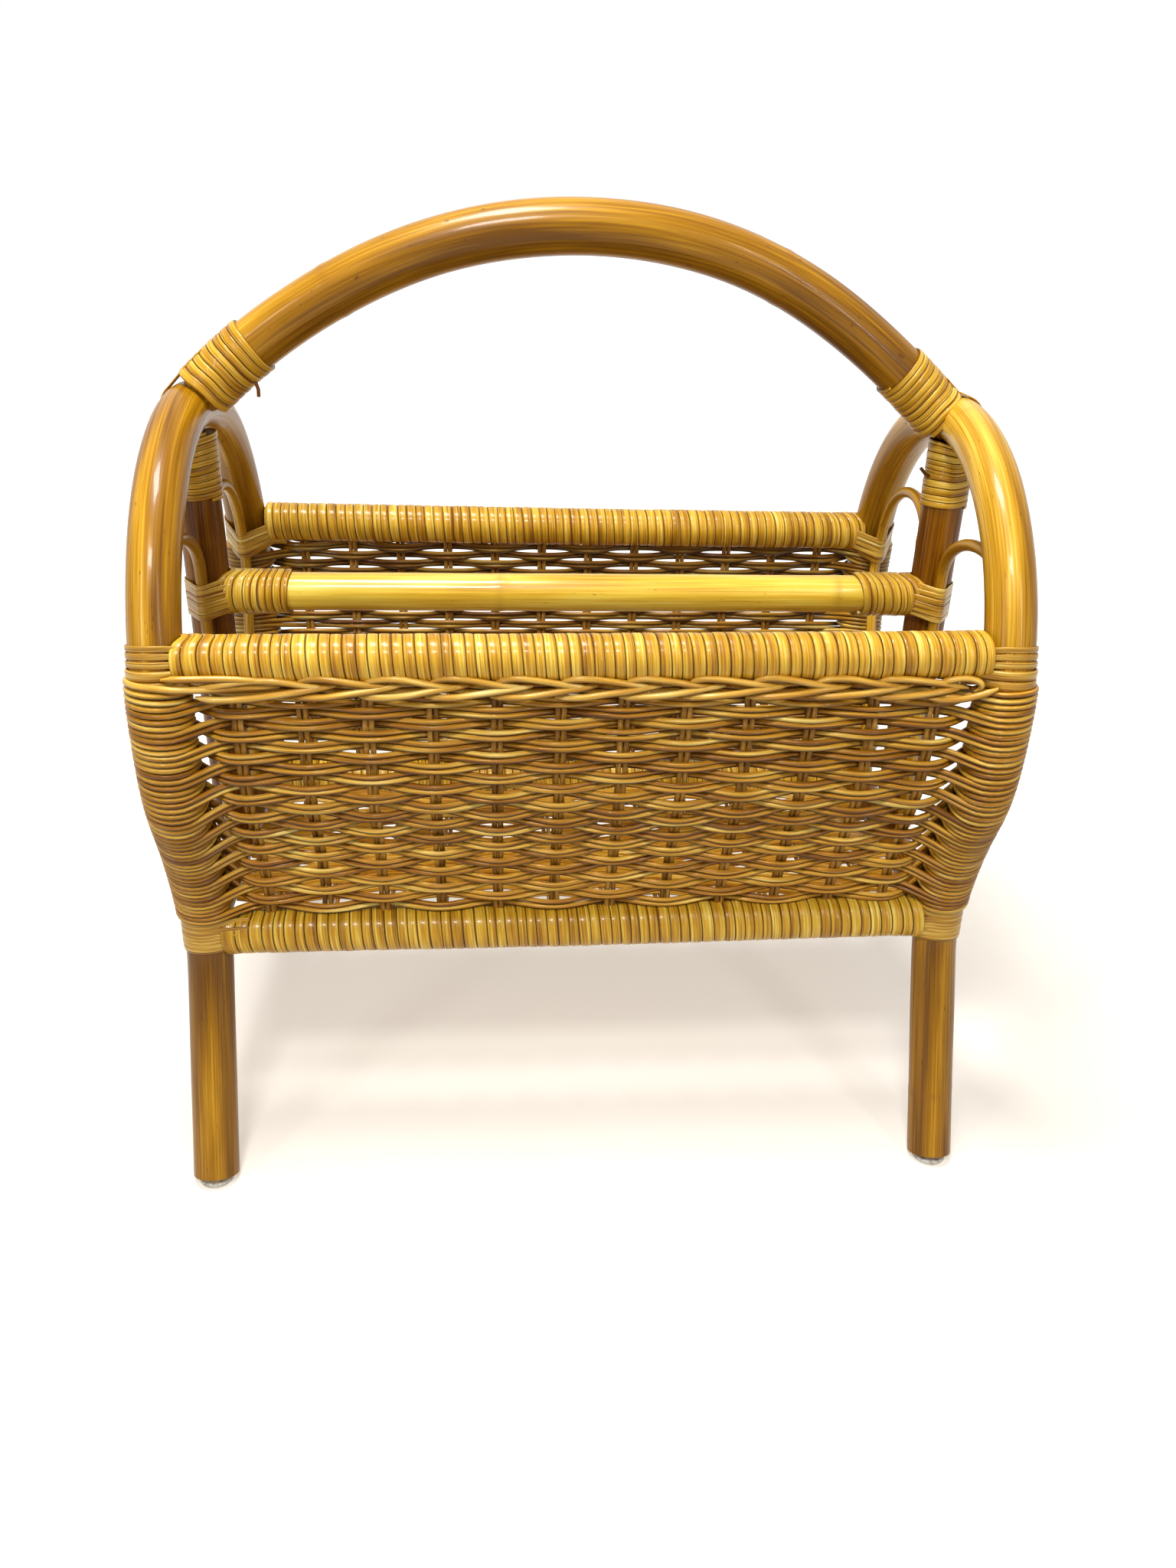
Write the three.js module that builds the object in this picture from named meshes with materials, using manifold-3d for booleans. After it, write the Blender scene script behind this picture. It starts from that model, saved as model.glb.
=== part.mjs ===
// Rattan magazine basket: two bent hoops joined by a bow handle, rails and woven reed sides,
// with every joint bound in cane. Millimetres, +Z up, floor at Z = 0, +Y to the back,
// and the origin on the floor under the middle.
import * as THREE from 'three';
import { mergeVertices } from 'three/addons/utils/BufferGeometryUtils.js';
import Module from 'manifold-3d';

const wasm = await Module();
wasm.setup();

// Overall sizes
const halfSpan = 205; // from the middle to each hoop's centreline
const overallHeight = 500; // floor to the top of the handle
const bottomRailHeight = 136;

// Bent hoops, one at each end
const hoopRadius = 12.5;
const hoopApexHeight = 396;
const archRadius = 124; // the round top of a hoop, which is also its half width at the belly
const waistHalf = 88; // corner that the bend above the splayed foot is drawn round
const footHalf = 142; // half the stance on the floor
const kneeReach = 28; // length of that bend on each side of its corner
const thighLean = THREE.MathUtils.degToRad(15);
const bellyPullShare = 0.57; // how much of the way the leg holds its line at its knee and at its belly
const footOverrun = 12; // pole drawn past the floor before it is sawn level

// Other poles
const handleRadius = 13.5;
const handleEndInset = 8; // from the hoop's centreline to where the handle's end is sawn
const postRadius = 11.75;
const postFootRise = 5; // from the cross bar's centreline to the ears of the post's hollowed foot
const centerRailRadius = 10.75;
const centerRailDrop = 99; // from the apex of the hoops to the centre rail
const topRailRadius = 12;
const topRailDrop = 93; // from the apex to the top rails
const bottomRailRadius = 9.75;
const crossBarRadius = 9.75;
const railEndGap = 0.65; // between the tips of a rail's hollowed end and the cross bar

// Thin rods that arch between the posts and the legs
const rodRadius = 3.25;
const rodCrownDrop = 51; // from the apex to the crown of a rod
const rodCrownHalf = 60; // from the post's centreline to the crown
const rodFootGap = 5.7; // between the reed round a leg and the outer foot
const rodTiePullShare = 0.1; // how much of its way the outer run follows the leg below its band
const rodFootPullShare = 0.4; // and how much of it holds its lean above its foot
const rodFootAngle = THREE.MathUtils.degToRad(11);
const rodSlack = 1.4; // room for a bent rod inside a band
const rodGap = 0.6; // between the inner runs and their post
const roundShare = 0.55; // reach of a curve's handles that makes it nearly round

// Cane, split in flat strips
const caneThickness = 1.2;
const caneBevel = 0.7; // how much each edge of a strip is rounded off
const caneGap = 0.65; // seam between two turns
const heavyCaneThickness = 2; // two layers at the ends of the centre rail
const bandThickness = 1.6; // strips drawn round a leg where a rail meets it
const bandLip = 1.25; // how far a band reaches past its rail, up and down
const bandArm = 4; // how far a band reaches past the leg along its rail
const bandTurns = 8; // corners of a band round its leg
const hookTurn = THREE.MathUtils.degToRad(120); // how far a low band goes round its leg

// Turns of each winding: on the long rails one loop stands for about five turns of cane
const topRailLoops = 15;
const bottomRailLoops = 12;
const handleLoops = 8;
const handleBindingLength = 36;
const postLoops = 8;
const postBindingLength = 34;
const postBindingDrop = 2; // below the hoop
const centerRailLoops = 8;
const centerRailBindingLength = 33;

// Woven reed
const reedThickness = 2.9;
const sideHump = 4.25; // from the middle of a side to the outside of a row where it crosses a stake
const floorHump = 3; // the same in the floor, which is woven flatter
const weaveHollow = 0.75; // and from the middle to the hollows between the humps
const panelRows = 24;
const floorRows = 17;
const stakes = 12;
const stakeInset = 19; // from the reed round a leg to the middle of the first stake
const stakeWidth = 5.8;
const stakeThickness = 2.5;
const stakeTuck = 1; // how far the foot of a stake is drawn into the first row
const panelFoot = 4; // open strip between the last row and the bottom rail
const bottomGap = 17; // open strip between the floor of the basket and each rail
const borderHeight = 11;
const borderDepth = 5;
const borderLap = 2.5; // how far the border covers the rail wrap above it

// Glides under the feet
const glideRadius = 9.5;
const glideThickness = 3;

// Fits and facets
const clearance = 0.3;
const overrun = 5;
const poleSides = 12;
const rodSides = 8;
const railSides = 8;
const bendSteps = 4; // along each bend of a pole, and twice as many round an arch
const handleSteps = 18;

const X = new THREE.Vector3(1, 0, 0);
const Y = new THREE.Vector3(0, 1, 0);
const ends = { left: -1, right: 1 };
const faces = { front: -1, rear: 1 };

// Materials
const pole = new THREE.MeshStandardMaterial({ color: '#c68a3c', roughness: 0.3, metalness: 0 });
const darkPole = new THREE.MeshStandardMaterial({ color: '#96602a', roughness: 0.35, metalness: 0 });
const cane = new THREE.MeshStandardMaterial({ color: '#d6a550', roughness: 0.4, metalness: 0 });
const reed = new THREE.MeshStandardMaterial({ color: '#b98136', roughness: 0.5, metalness: 0 });
const nylon = new THREE.MeshStandardMaterial({ color: '#d8d4c9', roughness: 0.6, metalness: 0 });

// A mesh as a solid for joining and cutting, and back again
function solidOf(geometry) {
  const bare = geometry.clone();
  bare.deleteAttribute('normal');
  bare.deleteAttribute('uv');
  const merged = mergeVertices(bare);
  return new wasm.Manifold(new wasm.Mesh({
    numProp: 3,
    vertProperties: merged.attributes.position.array,
    triVerts: Uint32Array.from(merged.index.array),
  }));
}

function geometryOf(solid) {
  const mesh = solid.getMesh();
  const geometry = new THREE.BufferGeometry();
  geometry.setAttribute('position', new THREE.BufferAttribute(mesh.vertProperties, 3));
  geometry.setIndex(new THREE.BufferAttribute(mesh.triVerts, 1));
  return geometry;
}

const cut = (geometry, ...tools) => geometryOf(
  tools.reduce((solid, tool) => solid.subtract(solidOf(tool)), solidOf(geometry)));

const join = (geometry, ...others) => geometryOf(
  others.reduce((solid, other) => solid.add(solidOf(other)), solidOf(geometry)));

// Indexed triangles as a closed geometry, turned inside out if its faces point inwards
function closedGeometry(points, triangles) {
  const corner = (index) => points[triangles[index]];
  let volume = 0;
  for (let i = 0; i < triangles.length; i += 3) {
    volume += corner(i).dot(new THREE.Vector3().crossVectors(corner(i + 1), corner(i + 2)));
  }
  const facing = volume < 0 ? triangles.slice().reverse() : triangles;
  const geometry = new THREE.BufferGeometry();
  geometry.setAttribute('position',
    new THREE.Float32BufferAttribute(points.flatMap((point) => point.toArray()), 3));
  geometry.setIndex(facing);
  return geometry;
}

// The two triangles between each pair of points of ring a and ring b, which share the edge from
// the first point of ring a to the second of ring b, or where it is turned, the other one
function bridge(triangles, count, a, b, isTurned = () => false) {
  for (let i = 0; i < count; i++) {
    const next = (i + 1) % count;
    if (isTurned(i)) triangles.push(a + i, a + next, b + i, a + next, b + next, b + i);
    else triangles.push(a + i, a + next, b + next, a + i, b + next, b + i);
  }
}

// Equal rings of points bridged in turn, with a flat cap of the given outline at both ends
function cappedRings(rings, outline, isTurned = () => false) {
  const count = outline.length;
  const triangles = [];
  for (let i = 0; i + 1 < rings.length; i++) {
    bridge(triangles, count, i * count, (i + 1) * count, (point) => isTurned(i + point));
  }
  const last = (rings.length - 1) * count;
  const clockwise = THREE.ShapeUtils.isClockWise(outline);
  for (const face of THREE.ShapeUtils.triangulateShape(outline, [])) {
    const [a, b, c] = clockwise ? face.toReversed() : face;
    triangles.push(a, c, b, last + a, last + b, last + c);
  }
  return closedGeometry(rings.flat(), triangles);
}

// Equal rings bridged in turn and back to the first, as a sleeve
function loopedRings(rings) {
  const count = rings[0].length;
  const triangles = [];
  rings.forEach((_, i) => bridge(triangles, count, i * count, ((i + 1) % rings.length) * count));
  return closedGeometry(rings.flat(), triangles);
}

// A curve drawn in two coordinates and set in space
class PlaneCurve extends THREE.Curve {
  constructor(path, place) {
    super();
    this.path = path;
    this.place = place;
  }

  getPoint(t) {
    const point = this.path.getPoint(t);
    return this.place(point.x, point.y);
  }
}

// The stations of a pole bent in one plane: its middle there, the plane's normal, the normal
// within the plane, and the distance along the pole
function stationsAlong(curve, steps, across, start = 0) {
  const length = curve.getLength();
  return Array.from({ length: steps + 1 }, (_, i) => {
    const along = curve.getTangentAt(i / steps);
    return {
      middle: curve.getPointAt(i / steps),
      across,
      out: new THREE.Vector3().crossVectors(across, along),
      along,
      distance: start + length * i / steps,
    };
  });
}

// The same along a path of several curves, with one step to a straight stretch
function stationsByPart(path, place, across) {
  const stations = [];
  for (const part of path.curves.filter((one) => one.getLength() > clearance)) {
    const steps = { LineCurve: 1, EllipseCurve: 4 * bendSteps }[part.type] ?? bendSteps;
    const start = stations.pop()?.distance ?? 0;
    stations.push(...stationsAlong(new PlaneCurve(part, place), steps, across, start));
  }
  return stations;
}

function between(a, b, share) {
  return {
    middle: a.middle.clone().lerp(b.middle, share),
    across: a.across,
    out: a.out.clone().lerp(b.out, share),
    along: a.along.clone().lerp(b.along, share),
    distance: THREE.MathUtils.lerp(a.distance, b.distance, share),
  };
}

// The station where measure(station) reaches a value, between the two that it lies between
function stationWhere(stations, measure, value) {
  const last = stations.length - 1;
  const index = stations.findIndex((station, i) => i === last || measure(stations[i + 1]) >= value);
  const a = stations[Math.min(index, last - 1)];
  const b = stations[Math.min(index, last - 1) + 1];
  return between(a, b, (value - measure(a)) / (measure(b) - measure(a)));
}

// All stations from one place to another, with the places themselves at both ends
function stretch(stations, measure, low, high) {
  const inside = stations.filter((station) => measure(station) > low && measure(station) < high);
  return [stationWhere(stations, measure, low), ...inside, stationWhere(stations, measure, high)];
}

const at = (station, across, out) => station.middle.clone()
  .addScaledVector(station.across, across)
  .addScaledVector(station.out, out);

const unitStation = { middle: new THREE.Vector3(), across: X, out: Y };

function ringAt(station, radius, sides) {
  return Array.from({ length: sides }, (_, i) => {
    const angle = 2 * Math.PI * i / sides;
    return at(station, radius * Math.sin(angle), radius * Math.cos(angle));
  });
}

// A pole through its stations
const poleThrough = (stations, radius, sides) => cappedRings(
  stations.map((station) => ringAt(station, radius, sides)),
  ringAt(unitStation, radius, sides).map((point) => new THREE.Vector2(point.x, point.y)));

function circle(radius) {
  return new THREE.Shape().absarc(0, 0, radius, 0, 2 * Math.PI);
}

// A round pole along a curve, with the given number of sides
function poleAlong(curve, radius, steps, sides) {
  return new THREE.ExtrudeGeometry(circle(radius), {
    steps, extrudePath: curve, bevelEnabled: false, curveSegments: sides / 2,
  });
}

// A straight round pole between two points
function straightPole(start, end, radius, sides) {
  return poleAlong(new THREE.LineCurve3(start, end), radius, 1, sides);
}

// The grown copy of a pole's radius that cuts a seat into what meets it
const seatRadius = (radius) => radius + clearance / Math.cos(Math.PI / poleSides);

// Cane wound on a pole: one flat strip in a helix, with a short straight tail at both ends
function winding(name, stations, radius, { from, length, loops, steps, thickness }) {
  const pitch = length / (loops + 1);
  const halfWidth = (pitch - caneGap) / 2;
  const inner = radius + clearance / Math.cos(Math.PI / steps);
  const section = [
    [-halfWidth, 0], [halfWidth, 0], [halfWidth - caneBevel, thickness], [caneBevel - halfWidth, thickness],
  ];
  const ring = (step, tail) => {
    const angle = 2 * Math.PI * step / steps;
    const distance = from + pitch * (step / steps + 0.5);
    const station = stationWhere(stations, (place) => place.distance, distance);
    const outward = at(station, Math.sin(angle), Math.cos(angle)).sub(station.middle);
    const onward = at(station, Math.cos(angle), -Math.sin(angle)).sub(station.middle);
    return section.map(([along, rise]) => station.middle.clone()
      .addScaledVector(station.along, along)
      .addScaledVector(outward, inner + rise)
      .addScaledVector(onward, tail));
  };
  const count = loops * steps;
  const rings = Array.from({ length: count + 1 }, (_, step) => ring(step, 0));
  rings.unshift(ring(0, -thickness));
  rings.push(ring(count, thickness));
  console.log(`${name}: least gap between turns ${leastGap(rings, steps - 1).toFixed(2)} mm`);
  return cappedRings(rings, section.map(([along, rise]) => new THREE.Vector2(along, rise)));
}

// The least distance between points of a winding that lie most of a turn or more apart
function leastGap(rings, apart) {
  let least = Infinity;
  rings.forEach((ring, i) => {
    for (const other of rings.slice(i + apart).flat()) {
      for (const point of ring) least = Math.min(least, point.distanceTo(other));
    }
  });
  return least;
}

// Corners of a strip pulled tight round circles, from the out side round the given end to an angle
function tightCorners(end, circles, grow, toAngle) {
  const reach = (angle) => Math.max(...circles.map((one) => (
    one.across * end * Math.sin(angle) + one.out * Math.cos(angle) + one.radius + grow)));
  return Array.from({ length: bandTurns }, (_, i) => {
    const a = toAngle * i / bandTurns;
    const b = toAngle * (i + 1) / bandTurns;
    const across = (reach(b) * Math.cos(a) - reach(a) * Math.cos(b)) / Math.sin(b - a);
    const out = (reach(a) * Math.sin(b) - reach(b) * Math.sin(a)) / Math.sin(b - a);
    return new THREE.Vector2(across * end, out);
  });
}

// A sling round a pole and the rods beside it, with an arm along the rail on both sides
function bandOutline(end, radius, railRadius, arm, rods, thickness) {
  const circles = [
    { across: 0, out: 0, radius }, { across: -end * railRadius, out: 0, radius: railRadius }, ...rods,
  ];
  const inner = tightCorners(end, circles, clearance, Math.PI);
  const outer = tightCorners(end, circles, clearance + thickness, Math.PI);
  const armEnd = -end * (radius + arm);
  return [
    new THREE.Vector2(armEnd, inner[0].y), ...inner, new THREE.Vector2(armEnd, inner.at(-1).y),
    new THREE.Vector2(armEnd, outer.at(-1).y), ...outer.toReversed(), new THREE.Vector2(armEnd, outer[0].y),
  ];
}

// A hook round the outer side of a leg, which stops short of the cross bar
function hookOutline(end, radius, railRadius, arm, thickness) {
  const circles = [{ across: 0, out: 0, radius }, { across: -end * railRadius, out: 0, radius: railRadius }];
  const inner = tightCorners(end, circles, clearance, hookTurn);
  const outer = tightCorners(end, circles, clearance + thickness, hookTurn);
  const armEnd = -end * (radius + arm);
  return [
    new THREE.Vector2(armEnd, inner[0].y), ...inner,
    ...outer.toReversed(), new THREE.Vector2(armEnd, outer[0].y),
  ];
}

const band = (places, outline) => cappedRings(
  places.map((station) => outline.map((point) => at(station, point.x, point.y))), outline);

// Paths: one half of a hoop is drawn from its foot up, then the arch, then the other half down
function hoopPath() {
  const shin = new THREE.Vector2(footHalf - waistHalf, -bottomRailHeight).normalize();
  const kneeLow = new THREE.Vector2(waistHalf, bottomRailHeight).addScaledVector(shin, kneeReach);
  const thigh = new THREE.Vector2(Math.sin(thighLean), Math.cos(thighLean));
  const kneeHigh = new THREE.Vector2(waistHalf, bottomRailHeight).addScaledVector(thigh, kneeReach);
  const belly = hoopApexHeight - archRadius;
  const reach = bellyPullShare * (belly - kneeHigh.y);
  const pull = kneeHigh.clone().addScaledVector(thigh, reach);
  const foot = new THREE.Vector2(footHalf, 0).addScaledVector(shin, footOverrun);
  const path = new THREE.Path().moveTo(-foot.x, foot.y).lineTo(-kneeLow.x, kneeLow.y);
  path.quadraticCurveTo(-waistHalf, bottomRailHeight, -kneeHigh.x, kneeHigh.y);
  path.bezierCurveTo(-pull.x, pull.y, -archRadius, belly - reach, -archRadius, belly);
  path.absarc(0, belly, archRadius, Math.PI, 0, true);
  path.bezierCurveTo(archRadius, belly - reach, pull.x, pull.y, kneeHigh.x, kneeHigh.y);
  path.quadraticCurveTo(waistHalf, bottomRailHeight, kneeLow.x, kneeLow.y);
  return path.lineTo(foot.x, foot.y);
}

const inHoopPlane = (y, z) => new THREE.Vector3(0, y, z);
const hoopStations = stationsByPart(hoopPath(), inHoopPlane, X);
const frontLeg = hoopStations.slice(0, (hoopStations.length + 1) / 2);
const heightOf = (station) => station.middle.z;
const legStation = (height) => stationWhere(frontLeg, heightOf, height);
const legHalf = (height) => -legStation(height).middle.y;

const handleRise = overallHeight - handleRadius - hoopApexHeight;
const handleBend = (halfSpan ** 2 + handleRise ** 2) / (2 * handleRise);
const handleTurn = Math.asin(halfSpan / handleBend);
const handleSweep = handleTurn - handleEndInset / handleBend;
const handlePath = new THREE.Path().absarc(
  0, overallHeight - handleRadius - handleBend, handleBend,
  Math.PI / 2 + handleSweep, Math.PI / 2 - handleSweep, true);
const handleCurve = new PlaneCurve(handlePath, (x, z) => new THREE.Vector3(x, 0, z));
const handleStations = stationsAlong(handleCurve, handleSteps, Y);

// Where the pieces meet
const topRailHeight = hoopApexHeight - topRailDrop;
const centerRailHeight = hoopApexHeight - centerRailDrop;
const rodCrownHeight = hoopApexHeight - rodCrownDrop;
const topRailHalf = legHalf(topRailHeight);
const bottomRailHalf = legHalf(bottomRailHeight);
const topWrapRadius = topRailRadius + clearance / Math.cos(Math.PI / railSides) + caneThickness;
const bottomWrapRadius = bottomRailRadius + clearance / Math.cos(Math.PI / railSides) + caneThickness;
const topBandHalf = topRailRadius + bandLip;
const bottomBandHalf = bottomRailRadius + bandLip;
const centerBandHalf = centerRailRadius + bandLip;
const railEndInset = crossBarRadius + railEndGap;
const legWrapRadius = hoopRadius + clearance / Math.cos(Math.PI / poleSides) + reedThickness;
const postRodHalf = postRadius + rodRadius + rodGap;
const legRodOffset = legWrapRadius + rodRadius + clearance;

// Hoops, sawn level on top of their glides
const floorTool = new THREE.BoxGeometry(4 * halfSpan, 4 * footHalf, 2 * overallHeight)
  .translate(0, 0, glideThickness + clearance - overallHeight);
const hoopSeat = poleThrough(hoopStations, seatRadius(hoopRadius), poleSides);
const hoopSeats = [
  hoopSeat.clone().translate(-halfSpan, 0, 0),
  hoopSeat.clone().translate(halfSpan, 0, 0),
];

const hoopGeometry = cut(poleThrough(hoopStations, hoopRadius, poleSides), floorTool);

// Rails along X, with their ends hollowed to fit round the poles that they meet
function railBetweenHoops(half, height, radius, sides) {
  const start = new THREE.Vector3(railEndInset - halfSpan, half, height);
  const end = new THREE.Vector3(halfSpan - railEndInset, half, height);
  return cut(straightPole(start, end, radius, sides), ...hoopSeats);
}

const postSeat = (end) => straightPole(
  new THREE.Vector3(end * halfSpan, 0, bottomRailHeight),
  new THREE.Vector3(end * halfSpan, 0, hoopApexHeight), seatRadius(postRadius), poleSides);

const crossBarEnds = [
  new THREE.Vector3(0, -bottomRailHalf, bottomRailHeight),
  new THREE.Vector3(0, bottomRailHalf, bottomRailHeight),
];
const crossBar = cut(straightPole(...crossBarEnds, crossBarRadius, poleSides), hoopSeat);
const crossBarSeat = straightPole(...crossBarEnds, seatRadius(crossBarRadius), poleSides);

// The post at the right end, from its cross bar up to the hoop and clear of the handle
const handleSeat = poleThrough(handleStations, seatRadius(handleRadius), poleSides);
const post = cut(straightPole(
  new THREE.Vector3(0, 0, bottomRailHeight + postFootRise),
  new THREE.Vector3(0, 0, hoopApexHeight), postRadius, poleSides),
hoopSeat, crossBarSeat, handleSeat.clone().translate(-halfSpan, 0, 0));

const besidePost = [-1, 1].flatMap((side) => Object.values(ends).map((end) => straightPole(
  new THREE.Vector3(end * halfSpan, side * postRodHalf, bottomRailHeight),
  new THREE.Vector3(end * halfSpan, side * postRodHalf, hoopApexHeight),
  rodRadius + clearance, rodSides)));

const centerRail = cut(straightPole(
  new THREE.Vector3(-halfSpan, 0, centerRailHeight),
  new THREE.Vector3(halfSpan, 0, centerRailHeight), centerRailRadius, poleSides),
postSeat(ends.left), postSeat(ends.right), ...besidePost);

const handle = cut(poleThrough(handleStations, handleRadius, poleSides), ...hoopSeats);

// A thin rod: up beside the post, over in an arch, and down beside the leg on its inner side
function rodPath() {
  const beside = (height, onward) => {
    const station = legStation(height);
    const inner = at(station, 0, -legRodOffset).addScaledVector(station.along, onward);
    return new THREE.Vector2(inner.y, inner.z);
  };
  const bandTop = centerRailHeight + centerBandHalf + rodRadius;
  const rise = roundShare * (rodCrownHeight - bandTop);
  const legTop = topRailHeight + topBandHalf + rodRadius;
  const legTie = beside(legTop, 0);
  const legPull = beside(legTop, rise);
  const legLow = topRailHeight - topBandHalf - rodRadius;
  const low = beside(legLow, 0);
  const fall = legLow - bottomRailHeight;
  const lowPull = beside(legLow, -rodTiePullShare * fall);
  const rodFootHalf = bottomRailHalf - legRodOffset - rodFootGap;
  const footPull = rodFootPullShare * fall;
  const footLean = footPull * Math.tan(rodFootAngle);
  const path = new THREE.Path().moveTo(-postRodHalf, bottomRailHeight).lineTo(-postRodHalf, bandTop);
  path.bezierCurveTo(
    -postRodHalf, bandTop + rise,
    THREE.MathUtils.lerp(-rodCrownHalf, -postRodHalf, roundShare), rodCrownHeight,
    -rodCrownHalf, rodCrownHeight);
  path.bezierCurveTo(
    THREE.MathUtils.lerp(-rodCrownHalf, legTie.x, roundShare), rodCrownHeight,
    legPull.x, legPull.y, legTie.x, legTie.y);
  path.lineTo(low.x, low.y);
  return path.bezierCurveTo(
    lowPull.x, lowPull.y,
    -rodFootHalf - footLean, bottomRailHeight + footPull, -rodFootHalf, bottomRailHeight);
}

// A sleeve between two radii round the stations of a pole
function sleeve(places, innerRadius, outerRadius, sides) {
  const outside = places.map((station) => ringAt(station, outerRadius, sides));
  const inside = places.map((station) => ringAt(station, innerRadius, sides));
  return loopedRings([...outside, ...inside.reverse()]);
}

// Reed wound round the front leg between its two bands, as the weave turns back there
const legWrapFoot = bottomRailHeight + bottomBandHalf + 2 * clearance;
const legWrapTop = topRailHeight - topBandHalf - 2 * clearance;
const legWrapPlaces = stretch(frontLeg, heightOf, legWrapFoot, legWrapTop);
const legWrap = sleeve(legWrapPlaces, seatRadius(hoopRadius), legWrapRadius, poleSides);

// The rod keeps clear of the cross bar and of that reed
const legWrapSeat = poleThrough(legWrapPlaces, legWrapRadius + clearance / 2, poleSides);
const frontRod = cut(
  poleThrough(stationsByPart(rodPath(), inHoopPlane, X), rodRadius, rodSides), crossBarSeat, legWrapSeat);

const panelHalf = halfSpan - legWrapRadius - clearance;
const panelTop = topRailHeight - topWrapRadius - 3 * clearance;
const panelBottom = bottomRailHeight + bottomWrapRadius + panelFoot;
const stakePitch = 2 * (panelHalf - stakeInset) / (stakes - 1);
const stakeAt = (index) => (index - (stakes - 1) / 2) * stakePitch;

// A woven sheet, from the stations of its rows: each row is a hump over one stake and a hollow
// behind the next, and each face is split along its hollows, so that the humps stand alone.
// The sheet is flat along its edges
function wovenSheet(rows, half, hump) {
  const isEdge = (row) => row === 0 || row === rows.length - 1;
  const ringAcross = (x, reachAt) => {
    const face = (side) => rows.map((station, row) => (
      at(station, 0, side * (isEdge(row) ? reedThickness / 2 : reachAt(row, side))).setX(x)));
    return [...face(1), ...face(-1).reverse()];
  };
  const edge = (x) => ringAcross(x, () => reedThickness / 2);
  const rings = Array.from({ length: stakes }, (_, i) => (
    ringAcross(stakeAt(i), (row, side) => ((-1) ** (row + i) === side ? weaveHollow : hump))));
  rings.unshift(edge(-half));
  rings.push(edge(half));
  return cappedRings(
    rings, rings[0].map((point) => new THREE.Vector2(point.y, point.z)), (place) => place % 2 === 0);
}

// A short piece of each stake, as deep and as high as given
const stakePieces = (depth, height) => Array.from({ length: stakes }, (_, i) => (
  new THREE.BoxGeometry(stakeWidth, depth, height).translate(stakeAt(i), 0, 0)));

// A woven side, with its stakes standing on the bottom rail
const sideRows = Array.from({ length: panelRows }, (_, row) => (
  legStation(THREE.MathUtils.lerp(panelBottom, panelTop, row / (panelRows - 1)))));
const stakeFoot = bottomRailHeight + bottomWrapRadius + clearance;
const stakeTop = panelBottom + stakeTuck;
const sideStakes = stakePieces(stakeThickness, stakeTop - stakeFoot).map((piece) => (
  piece.translate(0, -legHalf(panelBottom), (stakeFoot + stakeTop) / 2)));
const frontPanel = join(wovenSheet(sideRows, panelHalf, sideHump), ...sideStakes);
const rearPanel = frontPanel.clone().rotateZ(Math.PI);

// The braid along the top of a woven side, as one rounded bar that leans with the weave and
// lies on the rail wrap above it
const borderDrop = topWrapRadius + borderHeight / 2 - borderLap;
const borderStation = legStation(topRailHeight - borderDrop);
const borderOut = sideHump + clearance + borderDepth / 2;
const borderOutline = new THREE.Shape()
  .absellipse(0, 0, borderHeight / 2, borderDepth / 2, 0, 2 * Math.PI).getPoints(poleSides).slice(1);
const borderRing = (x) => borderOutline.map((point) => (
  at(borderStation, 0, borderOut + point.y).addScaledVector(borderStation.along, point.x).setX(x)));
const topWrapSeat = straightPole(
  new THREE.Vector3(-halfSpan, -topRailHalf, topRailHeight),
  new THREE.Vector3(halfSpan, -topRailHalf, topRailHeight), topWrapRadius + clearance, poleSides);
const frontBorder = cut(
  cappedRings([borderRing(-panelHalf), borderRing(panelHalf)], borderOutline), topWrapSeat);
const rearBorder = frontBorder.clone().rotateZ(Math.PI);

// The woven floor, whose stakes reach out to both bottom rails
const floorHalf = bottomRailHalf - bottomWrapRadius - bottomGap;
const floorLine = new THREE.LineCurve3(
  new THREE.Vector3(0, -floorHalf, bottomRailHeight), new THREE.Vector3(0, floorHalf, bottomRailHeight));
const stakeReach = bottomRailHalf - bottomWrapRadius - clearance;
const stakeRoot = floorHalf - stakeTuck;
const floorStakes = Object.values(faces).flatMap((face) => (
  stakePieces(stakeReach - stakeRoot, stakeThickness).map((piece) => (
    piece.translate(0, face * (stakeReach + stakeRoot) / 2, bottomRailHeight)))));
const bottomPanel = join(
  wovenSheet(
    stationsAlong(floorLine, floorRows - 1, X), halfSpan - crossBarRadius - clearance, floorHump),
  ...floorStakes);

// Bands of cane that tie a rail to a leg, or the centre rail to its post
const topBandPlaces = stretch(
  frontLeg, heightOf, topRailHeight - topBandHalf, topRailHeight + topBandHalf);
const bottomBandPlaces = stretch(
  frontLeg, heightOf, bottomRailHeight - bottomBandHalf, bottomRailHeight + bottomBandHalf);
const postStations = stationsAlong(new THREE.LineCurve3(
  new THREE.Vector3(0, 0, hoopApexHeight), new THREE.Vector3(0, 0, bottomRailHeight)), 1, X);
const centerBandPlaces = stretch(postStations, (station) => -heightOf(station),
  -centerRailHeight - centerBandHalf, -centerRailHeight + centerBandHalf);
const legRods = [{ across: 0, out: -legRodOffset, radius: rodRadius + rodSlack }];
const postRods = [-1, 1].map((side) => ({
  across: 0, out: side * postRodHalf, radius: rodRadius + rodSlack,
}));

// Everything, by name
const basket = new THREE.Group();

function add(name, geometry, material, x = 0, y = 0, z = 0) {
  const mesh = new THREE.Mesh(geometry, material);
  mesh.name = name;
  mesh.position.set(x, y, z);
  basket.add(mesh);
}

function addWinding(name, stations, radius, turns, x = 0) {
  add(name, winding(name, stations, radius, turns), cane, x);
}

const railStations = (half, height) => stationsAlong(new THREE.LineCurve3(
  new THREE.Vector3(-halfSpan, half, height), new THREE.Vector3(halfSpan, half, height)), 1, Y);

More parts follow.
